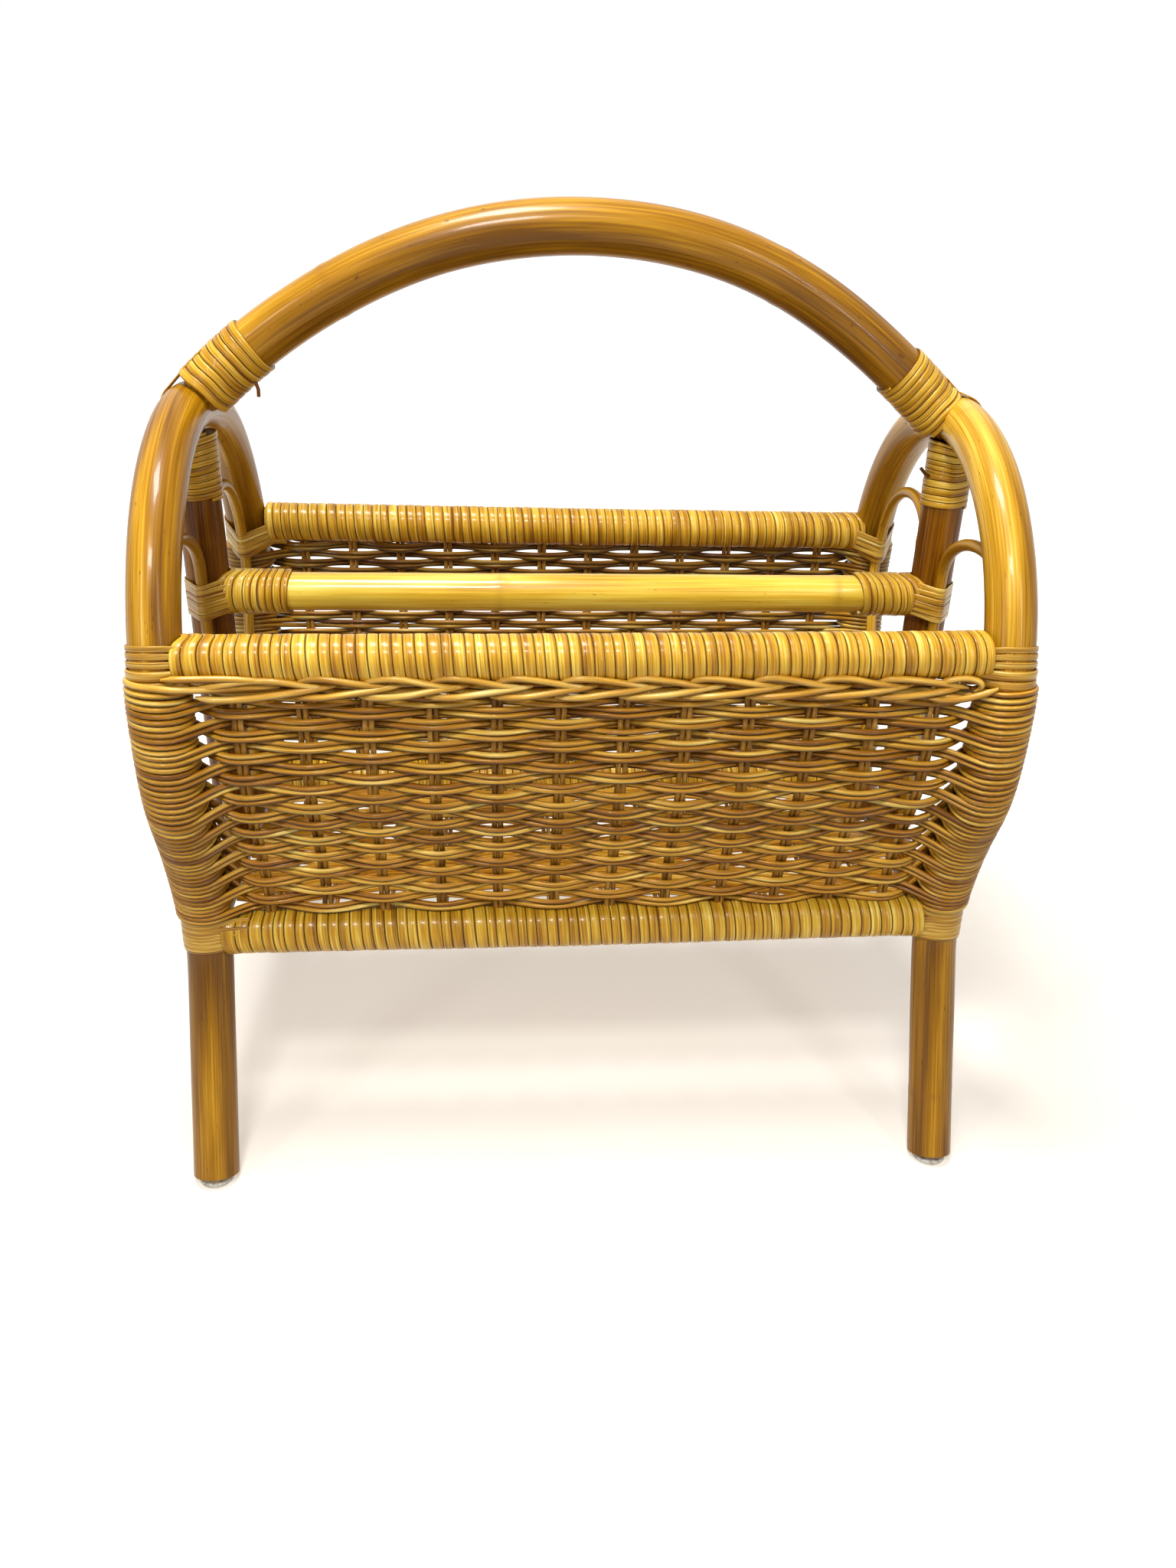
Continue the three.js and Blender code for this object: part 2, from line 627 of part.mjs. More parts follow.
const mirrored = (stations) => stations.map((station) => ({
  ...station, distance: stations.at(-1).distance - station.distance,
})).reverse();

add('handle_bow', handle, pole);
add('center_rail', centerRail, pole);
add('front_panel', frontPanel, reed);
add('rear_panel', rearPanel, reed);
add('front_border', frontBorder, reed);
add('rear_border', rearBorder, reed);
add('bottom_panel', bottomPanel, reed);

const railWrapFrom = hoopRadius + bandArm + clearance;
const rails = {
  top: { half: topRailHalf, height: topRailHeight, radius: topRailRadius, loops: topRailLoops },
  bottom: {
    half: bottomRailHalf, height: bottomRailHeight, radius: bottomRailRadius, loops: bottomRailLoops,
  },
};

for (const [faceName, face] of Object.entries(faces)) {
  for (const [railName, { half, height, radius, loops }] of Object.entries(rails)) {
    const name = `${faceName}_${railName}_rail`;
    add(name, railBetweenHoops(face * half, height, radius, railSides), pole);
    addWinding(`${name}_wrap`, railStations(face * half, height), radius, {
      from: railWrapFrom, length: 2 * (halfSpan - railWrapFrom),
      loops, steps: railSides, thickness: caneThickness,
    });
  }
}

for (const [endName, end] of Object.entries(ends)) {
  const x = end * halfSpan;
  const fromThisEnd = (stations) => (end < 0 ? stations : mirrored(stations));
  add(`${endName}_hoop`, hoopGeometry.clone(), pole, x);
  add(`${endName}_center_post`, end > 0 ? post.clone() : post.clone().rotateZ(Math.PI), darkPole, x);
  add(`${endName}_cross_bar`, crossBar.clone(), darkPole, x);
  addWinding(`${endName}_handle_binding`, fromThisEnd(handleStations), handleRadius, {
    from: seatRadius(hoopRadius) + clearance - handleEndInset, length: handleBindingLength,
    loops: handleLoops, steps: poleSides, thickness: caneThickness,
  });
  addWinding(`${endName}_post_binding`, postStations, postRadius, {
    from: hoopRadius + postBindingDrop, length: postBindingLength,
    loops: postLoops, steps: poleSides, thickness: caneThickness,
  }, x);
  addWinding(`${endName}_center_rail_binding`, fromThisEnd(railStations(0, centerRailHeight)),
    centerRailRadius, {
      from: postRadius + bandArm + clearance, length: centerRailBindingLength,
      loops: centerRailLoops, steps: poleSides, thickness: heavyCaneThickness,
    });
  add(`${endName}_center_band`,
    band(centerBandPlaces, bandOutline(
      end, postRadius, centerRailRadius, bandArm, postRods, bandThickness)), cane, x);
  for (const [faceName, face] of Object.entries(faces)) {
    const corner = `${endName}_${faceName}`;
    // A piece drawn for a front leg of the other end stands at the rear leg of this end
    const turned = (geometry) => (face < 0 ? geometry : geometry.rotateZ(Math.PI));
    const side = face < 0 ? end : -end;
    add(`${corner}_rod_arch`, turned(frontRod.clone()), pole, x);
    add(`${corner}_leg_wrap`, turned(legWrap.clone()), reed, x);
    add(`${corner}_top_band`, turned(band(topBandPlaces,
      bandOutline(side, hoopRadius, topRailRadius, bandArm, legRods, bandThickness))), cane, x);
    add(`${corner}_bottom_band`, turned(band(bottomBandPlaces,
      hookOutline(side, hoopRadius, bottomRailRadius, bandArm, bandThickness))), cane, x);
    add(`${corner}_glide`, new THREE.CylinderGeometry(glideRadius, glideRadius, glideThickness, poleSides)
      .rotateX(Math.PI / 2), nylon, x, face * legHalf(glideThickness), glideThickness / 2);
  }
}

export default basket;
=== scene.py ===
# %% [markdown]
# # A rattan magazine basket
# The real basket is bent and tied by hand from one plant. Thick poles of rattan make the frame,
# its hard outer skin is split into flat cane for every winding, and its core is drawn into round
# reed for the woven sides. So this scene has three families of pieces, poles, cane and reed, and
# all of them are lengths of something bent along a route. Each could be cut from a block, but a
# section that follows a route is how the maker works, and it keeps the grain running with every
# bend, so that way was chosen.

import bpy
import numpy as np
from mathutils import Matrix


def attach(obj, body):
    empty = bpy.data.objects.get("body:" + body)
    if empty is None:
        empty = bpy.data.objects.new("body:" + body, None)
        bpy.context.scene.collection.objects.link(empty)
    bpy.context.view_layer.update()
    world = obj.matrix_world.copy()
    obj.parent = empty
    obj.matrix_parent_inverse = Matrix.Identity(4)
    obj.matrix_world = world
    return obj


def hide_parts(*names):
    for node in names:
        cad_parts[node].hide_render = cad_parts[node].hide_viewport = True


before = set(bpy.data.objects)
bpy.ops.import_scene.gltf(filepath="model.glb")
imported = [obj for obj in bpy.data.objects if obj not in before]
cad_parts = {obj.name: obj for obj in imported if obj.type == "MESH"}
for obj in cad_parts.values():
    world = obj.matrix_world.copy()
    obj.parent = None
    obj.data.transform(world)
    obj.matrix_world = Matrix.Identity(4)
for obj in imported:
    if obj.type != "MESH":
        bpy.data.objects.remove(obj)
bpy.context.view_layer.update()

# %% [markdown]
# ## Units and small tools
# The basket is thought of in millimetres, as on its maker's rule, and Blender counts in metres,
# so one factor turns one into the other. Numbers could be typed in where they are used, but many
# pieces share them, so they are named here. Everything that varies by hand, such as the width of
# a strip, comes from seeded chance, so the basket is the same each time.

# %% Sizes of the frame, in millimetres
MM = 0.001
SPAN = 205.0  # from the middle to each hoop
APEX = 396.0  # height of a hoop's top
ARCH = 124.0  # radius of its round top
KNEE = np.array([88.0, 136.0])  # a leg's waist, how far out and how high
RAIL_LOW = 136.0  # heights of the rails and of the handle
RAIL_TOP = 303.0
RAIL_CENTER = 297.0
HANDLE_TOP = 500.0
HOOP_R = 12.5  # radii of the poles and rods
HANDLE_R = 13.5
POST_R = 11.75
CENTER_R = 10.75
LOW_R = 9.75
ROD_R = 3.25
GLIDE_THICK = 3.0
TOUCH = 0.3  # pieces that touch are drawn this far apart
UP = np.array([0.0, 0.0, 1.0])
ENDS = ((-1, "left"), (1, "right"))
chance = np.random.default_rng(7)
print("from hoop to hoop", 2 * SPAN, "mm, up to the handle's top", HANDLE_TOP, "mm")

# %% Tools for routes


def unit(vectors):
    """The same directions, each one long."""
    return vectors / np.linalg.norm(vectors, axis=-1, keepdims=True)


def bezier(a, b, c, d, steps=24):
    """A curve from a to d that leaves towards b and arrives from c."""
    t = np.linspace(0, 1, steps + 1)[:, None]
    a, b, c, d = (np.asarray(p, float) for p in (a, b, c, d))
    return (1 - t) ** 3 * a + 3 * (1 - t) ** 2 * t * b + 3 * (1 - t) * t**2 * c + t**3 * d


def distances(points):
    """How far along the route each point is."""
    gaps = np.linalg.norm(np.diff(points, axis=0), axis=1)
    return np.concatenate([[0.0], np.cumsum(gaps)])


def evenly(points, spacing):
    """The same route with points at an even spacing."""
    points = np.asarray(points, float)
    along = distances(points)
    count = max(int(round(along[-1] / spacing)), 2)
    wanted = np.linspace(0, along[-1], count + 1)
    return np.stack([np.interp(wanted, along, column) for column in points.T], 1)


def sampled(route, along):
    """Places and directions at distances along a route, which runs on straight past its ends."""
    along = np.asarray(along, float)
    marks = distances(route)
    heading = unit(np.gradient(route, marks, axis=0))
    places = np.stack([np.interp(along, marks, column) for column in route.T], 1)
    ahead = unit(np.stack([np.interp(along, marks, column) for column in heading.T], 1))
    return places + ahead * (along - np.clip(along, 0, marks[-1]))[:, None], ahead


def pared(route, length, least):
    """Sizes along a route, which shrink over this length towards both of its ends."""
    from_start = np.interp(distances(route), [0, length], [least, 1])
    return from_start * np.interp(distances(route[::-1])[::-1], [0, length], [least, 1])


# %% [markdown]
# ## Bending a length along a route
# A pole, a reed and a strip of cane are one idea: a section that follows a line. They could be
# extruded ring by ring in edit mode, but a curve with a bevel does it in one go and converts to
# clean rings. Each mesh then gets two attributes for its finish: "grain" is the place in the
# unbent stick, length first, so that fibres follow every bend, and "tint" tells one reed or turn
# from the next, and on the hoops and the handle it also holds painted light and shade. Some get two
# more: "edge" is 1 at the edges of a strip, and on a reed it holds painted shade, under the reed and
# on its inner side, and "ring" marks the growth rings of a pole.

# %% Tools for meshes


def only(piece):
    """Selects this piece and nothing else."""
    bpy.ops.object.select_all(action="DESELECT")
    piece.select_set(True)
    bpy.context.view_layer.objects.active = piece


def points_of(piece):
    """Where its points are, in metres, one row each."""
    places = np.zeros(len(piece.data.vertices) * 3)
    piece.data.vertices.foreach_get("co", places)
    return places.reshape(-1, 3)


def move_points(piece, places):
    """Puts its points at these places."""
    piece.data.vertices.foreach_set("co", places.ravel())
    piece.data.update()


def mark(piece, name, values, kind="FLOAT"):
    """Writes an attribute, one value for each point."""
    layer = piece.data.attributes.new(name, kind, "POINT")
    layer.data.foreach_set("vector" if kind == "FLOAT_VECTOR" else "value", values.ravel())


def grain_of(piece):
    """Its "grain" attribute, one row for each point."""
    grain = np.zeros(len(piece.data.vertices) * 3)
    piece.data.attributes["grain"].data.foreach_get("vector", grain)
    return grain.reshape(-1, 3)


# %% Sections and curves


def strip_section(width, thickness):
    """The outline of a strip of cane, flat with rounded edges."""
    bpy.ops.curve.primitive_bezier_circle_add(radius=0.5)
    section = bpy.context.object
    section.data.resolution_u = 3
    squarer = 1.5  # longer handles make the circle squarer
    for corner in section.data.splines[0].bezier_points:
        corner.handle_left_type = corner.handle_right_type = "FREE"
        corner.handle_left = corner.co + (corner.handle_left - corner.co) * squarer
        corner.handle_right = corner.co + (corner.handle_right - corner.co) * squarer
    section.data.transform(Matrix.Diagonal((thickness * MM, width * MM, 1, 1)))
    return section


def curve_along(name, routes, radius, section, sides, sizes):
    """A curve with one line for each route, thick by its bevel."""
    curve = bpy.data.curves.new(name, "CURVE")
    curve.dimensions = "3D"
    curve.use_fill_caps = True
    curve.twist_mode = "Z_UP" if section else "MINIMUM"
    if section:
        curve.bevel_mode = "OBJECT"
        curve.bevel_object = section
    else:
        curve.bevel_depth = radius * MM
        curve.bevel_resolution = sides // 2 - 2
    for i, route in enumerate(routes):
        line = curve.splines.new("POLY")
        line.points.add(len(route) - 1)
        line.points.foreach_set("co", np.c_[route * MM, np.ones(len(route))].ravel())
        if sizes is not None:
            line.points.foreach_set("radius", np.broadcast_to(sizes[i], len(route)))
    return curve


# %% Grain and tint


def mark_grain(piece, routes, tints):
    """Marks each point's place in the unbent stick, and the tint of each stick."""
    # A converted curve lists its end caps first, with the last route's in front, then all rings.
    places = points_of(piece)
    rings = sum(len(route) for route in routes)
    around = len(places) // (rings + 2 * len(routes))
    grain = np.zeros_like(places)
    tint = np.zeros(len(places))
    start = 2 * len(routes) * around
    for i, route in enumerate(routes):
        ring = places[start:start + around] - route[0] * MM
        ahead = unit(route[1] - route[0])
        side = unit(np.cross(ahead, UP if abs(ahead[2]) < 0.9 else [1.0, 0, 0]))
        shape = np.stack([ring @ side, ring @ np.cross(side, ahead)], 1)
        along = distances(route) * MM + chance.uniform(0, 9)  # no two sticks show the same grain
        stop = start + len(route) * around
        grain[start:stop, 0] = np.repeat(along, around)
        grain[start:stop, 1:] = np.tile(shape, (len(route), 1))
        tint[start:stop] = chance.random() if tints is None else np.repeat(
            np.broadcast_to(tints[i], len(route)), around)
        cap = 2 * (len(routes) - 1 - i) * around
        grain[cap:cap + around] = grain[stop - around:stop]
        grain[cap + around:cap + 2 * around] = grain[start:start + around]
        tint[cap:cap + 2 * around] = tint[start]
        start = stop
    mark(piece, "grain", grain, "FLOAT_VECTOR")
    mark(piece, "tint", tint)


# %% The bending tool


def laid(name, routes, radius=None, section=None, sides=8, sizes=None, tints=None):
    """Lengths of pole, reed or strip along routes in millimetres, as one mesh."""
    curve = curve_along(name, routes, radius, section, sides, sizes)
    piece = bpy.data.objects.new(name, curve)
    bpy.context.collection.objects.link(piece)
    only(piece)
    bpy.ops.object.convert(target="MESH")
    piece = bpy.context.object
    piece.data.name = name
    mark_grain(piece, routes, tints)
    only(piece)
    bpy.ops.object.mode_set(mode="EDIT")
    bpy.ops.mesh.select_all(action="SELECT")
    bpy.ops.mesh.remove_doubles(threshold=1e-7)
    bpy.ops.mesh.normals_make_consistent(inside=False)
    bpy.ops.object.mode_set(mode="OBJECT")
    bpy.ops.object.shade_smooth_by_angle(angle=1.0)
    if section:
        bpy.data.objects.remove(section)
    print(name, len(piece.data.polygons), "faces")
    return piece


def bend(piece, route, facing):
    """Lays a piece made along Z on a route: its X turns to the route's outer side."""
    places = points_of(piece) / MM
    middle, ahead = sampled(route, places[:, 2])
    facing = np.broadcast_to(np.asarray(facing, float), ahead.shape)
    out = unit(np.cross(facing, ahead))
    move_points(piece, (middle + out * places[:, :1] + facing * places[:, 1:2]) * MM)


# %% Painted shade on the reeds
EDGE_BEGINS = 0.82  # an "edge" above this is darkened, up to 1


def painted_reed_shade(piece, depth):
    """Marks painted shade: darker under the front reeds and on their inner side, where they face into
    the basket.
    """
    facing = np.zeros(len(piece.data.vertices) * 3)
    piece.data.vertex_normals.foreach_get("vector", facing)
    # Painted shade: the more a face turns down, or into the basket, the darker it is drawn.
    under = np.clip(0.25 - 1.8 * facing[2::3], 0, 1)
    inner = np.clip(1.2 * facing[1::3] - 0.3, 0, 1) * 0.8
    mark(piece, "edge", EDGE_BEGINS + 0.2 * depth * np.maximum(under, inner))


# %% [markdown]
# ## Finishing a piece
# Every piece rides on the frame's body, takes its finish, and replaces the plain solid that kept
# its place. A copy for another corner could be turned as an object, but here a copy is turned or
# mirrored in its mesh.

# %% Tools for placing and copying


def finish(piece, slot, material, *stands_for):
    """Gives a piece its material, its body and the nodes that it stands for. The slot is not used."""
    piece.data.materials.clear()
    piece.data.materials.append(material)
    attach(piece, "root")
    if stands_for:
        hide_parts(*stands_for)


def copied(piece, name, matrix):
    """A copy with a mesh of its own, moved by a matrix in its mesh."""
    twin = piece.copy()
    twin.data = piece.data.copy()
    twin.name = twin.data.name = name
    bpy.context.collection.objects.link(twin)
    twin.data.transform(matrix)
    if matrix.determinant() < 0:
        twin.data.flip_normals()
    return twin


HALF_TURN = Matrix.Rotation(np.pi, 4, "Z")
MIRROR_X = Matrix.Diagonal((-1, 1, 1, 1))
MIRROR_Y = Matrix.Diagonal((1, -1, 1, 1))
OTHER_CORNERS = (("left_rear", MIRROR_Y), ("right_front", MIRROR_X), ("right_rear", HALF_TURN))

# %% [markdown]
# ## Finishes
# All the rattan is varnished, so each finish is a wood colour under a clear coat. The colour
# could be painted by hand, but rattan is made of long parallel fibres, so it comes from noise that
# is stretched along the "grain" attribute. The stretch is worked out from real sizes. The fibres
# of a pole are about 0.4 mm wide, and are drawn 0.9 mm wide so that they show in this picture.
# Varnished wood has an IOR of 1.5 and a roughness of 0.2 to 0.5, and the values in this range were
# matched to how sharp the lamps look on the real basket.

# %% The node tool


def linear(code):
    """An sRGB hex value as the linear colour that Blender counts in."""
    parts = [int(code[i:i + 2], 16) / 255 for i in (1, 3, 5)]
    return [*(c / 12.92 if c <= 0.04045 else ((c + 0.055) / 1.055) ** 2.4 for c in parts), 1.0]


def put(tree, kind, values=None, stops=None, **settings):
    """Adds a node with its settings, its values, and links where a value is a socket."""
    node = tree.nodes.new(kind)
    for name, value in settings.items():
        setattr(node, name, value)
    for name, value in (values or {}).items():
        if isinstance(value, bpy.types.NodeSocket):
            tree.links.new(value, node.inputs[name])
        else:
            node.inputs[name].default_value = value
    if stops:
        marks = node.color_ramp.elements
        while len(marks) < len(stops):
            marks.new(0.5)
        for element, (place, code) in zip(marks, stops):
            element.position = place
            element.color = linear(code)
    return node


def blank(name):
    """A material with an empty node tree."""
    material = bpy.data.materials.new(name)
    material.use_nodes = True
    material.node_tree.nodes.clear()
    return material, material.node_tree


def per_metre(length, width):
    """A noise's scale from the length and width of its spots, in millimetres."""
    return (1 / (length * MM), 1 / (width * MM), 1 / (width * MM))


# %% Rattan, as pole, cane or reed
FLECK = (6.25, 1.923)  # cells of the noise whose peaks alone show, as specks of 1 to 2 mm
FLECK_BROWN = "#5a3312"
RING_BROWN = "#8a5614"


def rattan(name, shades, fibre, patch, rough, bump, mix, edge=None, specks=0.0, shine=0.35):
    """Varnished rattan: shades run from dark to light, lengths and widths are in millimetres,
    and mix says how much the fibres, the patches and the tint move the shade."""
    material, tree = blank(name)
    grain = put(tree, "ShaderNodeAttribute", attribute_name="grain").outputs["Vector"]
    tint = put(tree, "ShaderNodeAttribute", attribute_name="tint").outputs["Fac"]
    fine = put(tree, "ShaderNodeMapping", {"Vector": grain, "Scale": per_metre(*fibre)})
    fibres = put(tree, "ShaderNodeTexNoise", {
        "Vector": fine.outputs[0], "Scale": 1.0, "Detail": 3.0, "Roughness": 0.6})
    broad = put(tree, "ShaderNodeMapping", {"Vector": grain, "Scale": per_metre(*patch)})
    patches = put(tree, "ShaderNodeTexNoise", {
        "Vector": broad.outputs[0], "Scale": 1.0, "Detail": 2.0, "Roughness": 0.5})
    shade = 0.5 - sum(mix) / 2  # so that middling noise gives the middle of the shades
    for source, share in zip((fibres.outputs["Fac"], patches.outputs["Fac"], tint), mix):
        shade = put(tree, "ShaderNodeMath", {0: source, 1: share, 2: shade},
                    operation="MULTIPLY_ADD").outputs[0]
    colour = put(tree, "ShaderNodeValToRGB", {"Fac": shade}, stops=shades).outputs[0]
    if specks:
        dots = put(tree, "ShaderNodeMapping", {"Vector": grain, "Scale": per_metre(*FLECK)})
        flecks = put(tree, "ShaderNodeTexNoise", {
            "Vector": dots.outputs[0], "Scale": 1.0, "Detail": 1.0})
        mask = put(tree, "ShaderNodeMapRange", {
            "Value": flecks.outputs["Fac"], "From Min": 0.72, "From Max": 0.8,
            "To Min": 0.0, "To Max": specks})
        colour = put(tree, "ShaderNodeMixRGB", {
            "Fac": mask.outputs[0], "Color1": colour, "Color2": linear(FLECK_BROWN)}).outputs[0]
    # The edge colour darkens the seams between turns of wound cane, and on reeds it is painted shade,
    # under them and on their inner side.
    if edge:
        across = put(tree, "ShaderNodeAttribute", attribute_name="edge").outputs["Fac"]
        seam_and_shade = put(tree, "ShaderNodeMapRange", {
            "Value": across, "From Min": EDGE_BEGINS, "From Max": 1.0, "To Min": 0.0, "To Max": 0.9})
        colour = put(tree, "ShaderNodeMixRGB", {
            "Fac": seam_and_shade.outputs[0], "Color1": colour, "Color2": linear(edge)}).outputs[0]
    ring = put(tree, "ShaderNodeAttribute", attribute_name="ring").outputs["Fac"]
    broken = put(tree, "ShaderNodeMath", {0: ring, 1: patches.outputs["Fac"]}, operation="MULTIPLY")
    colour = put(tree, "ShaderNodeMixRGB", {
        "Fac": broken.outputs[0], "Color1": colour, "Color2": linear(RING_BROWN)}).outputs[0]
    gloss = put(tree, "ShaderNodeMapRange", {
        "Value": fibres.outputs["Fac"], "From Min": 0.3, "From Max": 0.7,
        "To Min": rough + 0.08, "To Max": rough - 0.05})
    relief = put(tree, "ShaderNodeBump", {
        "Height": fibres.outputs["Fac"], "Strength": 0.6, "Distance": bump * MM})
    surface = put(tree, "ShaderNodeBsdfPrincipled", {
        "Base Color": colour, "Roughness": gloss.outputs[0], "Normal": relief.outputs[0],
        "IOR": 1.5, "Specular IOR Level": shine, "Coat Weight": 0.8 * shine, "Coat Roughness": 0.08})
    put(tree, "ShaderNodeOutputMaterial", {"Surface": surface.outputs[0]})
    return material


# %% [markdown]
# ## Three ways to finish a pole
# A pole of rattan keeps its own skin, which is scraped, stained and sprayed with clear varnish.
# One material with a colour for each part would do, but the posts are far darker than the hoops,
# partly from a darker stain and partly from painted shade, the centre rail is paler with painted
# light from above, and each shows its grain in another way.

# %% Poles
# Stained honey brown. The scraped skin is smooth, so the eye gets long bright streaks along each
# pole, broad soft patches where it drank more stain, and a few dark specks.
pole_varnish = rattan(
    "varnished_rattan_pole",
    [(0.2, "#6c4200"), (0.42, "#9a6804"), (0.6, "#c08d1c"), (0.85, "#efc654")],
    fibre=(70, 0.9), patch=(130, 12), rough=0.3, bump=0.05, mix=(0.7, 0.9, 0.5),
    specks=0.8, shine=0.18)
# Varnished, for the centre rail. It is the palest and glossiest part, and its patches look like
# faint clouds in yellow. Its paler colour is painted light, for the light that falls on its top from
# above.
painted_light_pole_varnish = rattan(
    "varnished_rattan_pole_painted_light",
    [(0.2, "#b47e14"), (0.42, "#dcac2c"), (0.6, "#efca46"), (0.85, "#fae484")],
    fibre=(70, 0.9), patch=(110, 14), rough=0.26, bump=0.05, mix=(0.8, 1.0, 0.0), specks=0.5)
# Stained dark, for the posts and the cross bars. The stain lies on the skin, so it hides most of
# the yellow, streaks along the fibres and dulls the shine. Part of the darkness is painted shade,
# for the shadow that the handle and the hoops cast on the posts.
dark_pole_varnish = rattan(
    "varnished_dark_rattan_pole",
    [(0.2, "#3c1c00"), (0.42, "#683800"), (0.62, "#865304"), (0.85, "#a66f18")],
    fibre=(60, 0.9), patch=(90, 10), rough=0.36, bump=0.05, mix=(1.0, 0.9, 0.1),
    specks=0.4, shine=0.15)
for varnish in (pole_varnish, painted_light_pole_varnish, dark_pole_varnish):
    print("finish:", varnish.name)

# %% [markdown]
# ## Cane and reed
# Flat cane is the skin of the plant, split off and planed. Round reed is its core, drawn through a
# die, so it has no skin and drinks stain. One texture with two colours would do for both, but cane
# is ribbed and satin where reed is softer, so each has its own fibres, roughness and height. Its
# fibres are about 0.3 mm wide, and are drawn 0.55 to 0.9 mm wide so that they show.

# %% Cane
# Cane for straps and slings, planed and varnished. Its fibres are fine and proud, so it looks
# ribbed, and each strand has a soft shine.
cane_skin = rattan(
    "varnished_cane_strip",
    [(0.2, "#7a4c06"), (0.42, "#b17e1c"), (0.62, "#d0a43c"), (0.85, "#f0da86")],
    fibre=(40, 0.55), patch=(60, 5), rough=0.36, bump=0.14, mix=(1.5, 0.8, 0.15), shine=0.25)
# Cane wound turn beside turn and varnished on the basket. The varnish ran between the turns and
# dried brown there, so every turn has a dark edge.
cane_wound = rattan(
    "varnished_cane_winding",
    [(0.2, "#865406"), (0.42, "#b98518"), (0.62, "#d4a52e"), (0.85, "#f2d66a")],
    fibre=(45, 0.9), patch=(50, 6), rough=0.32, bump=0.3, mix=(1.3, 0.9, 0.12),
    edge="#40240a", shine=0.22)

# %% Reed
# The weavers, drawn reed that was stained and wiped, golden. The nearly black edge colour is painted
# shade, under each reed and on its inner side, which makes the weave look deep.
reed_core = rattan(
    "varnished_round_reed",
    [(0.2, "#784400"), (0.42, "#b37614"), (0.62, "#dca636"), (0.85, "#fcde7c")],
    fibre=(30, 0.8), patch=(70, 6), rough=0.34, bump=0.06, mix=(0.9, 1.0, 0.2),
    edge="#2c1400", shine=0.2)
# The stakes are the same reed, behind the weavers where no cloth and little varnish came, so they
# are brown and dull.
stake_reed = rattan(
    "dark_stake_reed",
    [(0.2, "#583408"), (0.42, "#8a5e1c"), (0.62, "#a8782c"), (0.85, "#c89c4c")],
    fibre=(30, 0.7), patch=(40, 5), rough=0.45, bump=0.08, mix=(0.9, 0.9, 0.2), shine=0.15)
# The border stands out from the side, so it was wiped clean and is paler. Its brown below and on its
# inner side is painted shade.
border_reed = rattan(
    "varnished_border_reed",
    [(0.2, "#85540a"), (0.42, "#b9821e"), (0.62, "#d5a23a"), (0.85, "#f0cf74")],
    fibre=(30, 0.8), patch=(50, 6), rough=0.34, bump=0.06, mix=(0.9, 1.0, 0.3),
    edge="#3c1e04", shine=0.25)
for varnish in (cane_skin, cane_wound, reed_core, stake_reed, border_reed):
    print("finish:", varnish.name)

# %% [markdown]
# ## The bent hoops
# Each end of the basket is one pole, steamed and bent from foot to foot: a splayed shin, a
# pinched waist, a belly and a round top. It could be modelled as joined cylinders, but a bend has
# no joints, so one route is drawn from the same corner points as a bending form would have.

# %% Route of a hoop
SHIN = unit(np.array([54.0, -136.0]))  # heads from the waist down to a foot
THIGH_LEAN = np.radians(15)
THIGH = np.array([np.sin(THIGH_LEAN), np.cos(THIGH_LEAN)])
KNEE_BEND = 28  # the waist's bend begins this far from its corner, both ways
KNEE_LOW = KNEE + KNEE_BEND * SHIN
KNEE_HIGH = KNEE + KNEE_BEND * THIGH
BELLY = APEX - ARCH
SOLE = 3.3  # height of the middle of a foot's end
foot = KNEE_LOW + SHIN * (KNEE_LOW[1] - SOLE) / -SHIN[1]
pull = 0.57 * (BELLY - KNEE_HIGH[1])  # how far the belly's curve keeps its first heading
leg_line = np.vstack([
    bezier(foot, foot + (KNEE_LOW - foot) / 3, foot + (KNEE_LOW - foot) * 2 / 3, KNEE_LOW),
    bezier(KNEE_LOW, KNEE_LOW + (KNEE - KNEE_LOW) * 2 / 3,
           KNEE_HIGH + (KNEE - KNEE_HIGH) * 2 / 3, KNEE_HIGH)[1:],
    bezier(KNEE_HIGH, KNEE_HIGH + THIGH * pull, (ARCH, BELLY - pull), (ARCH, BELLY))[1:],
])
bow = np.radians(np.linspace(0, 90, 30))[1:]
half_line = np.vstack([leg_line, np.c_[ARCH * np.cos(bow), BELLY + ARCH * np.sin(bow)]])
front_half = np.c_[np.zeros(len(half_line)), -half_line[:, 0], half_line[:, 1]]
rear_half = front_half[::-1][1:] * [1, -1, 1]
front_leg = evenly(front_half, 2.0)  # from the foot to the top of the arch
hoop_route = evenly(np.vstack([front_half, rear_half]), 4.0)
print("hoop, length of pole:", round(distances(hoop_route)[-1]), "mm")


def leg_mark(height):
    """Distance along the front leg where it reaches a height."""
    return np.interp(height, front_leg[:, 2], distances(front_leg))


def leg_half(height):
    """How far out the leg stands at a height."""
    return -np.interp(height, front_leg[:, 2], front_leg[:, 1])


# %% Growth rings and small unevenness of a pole


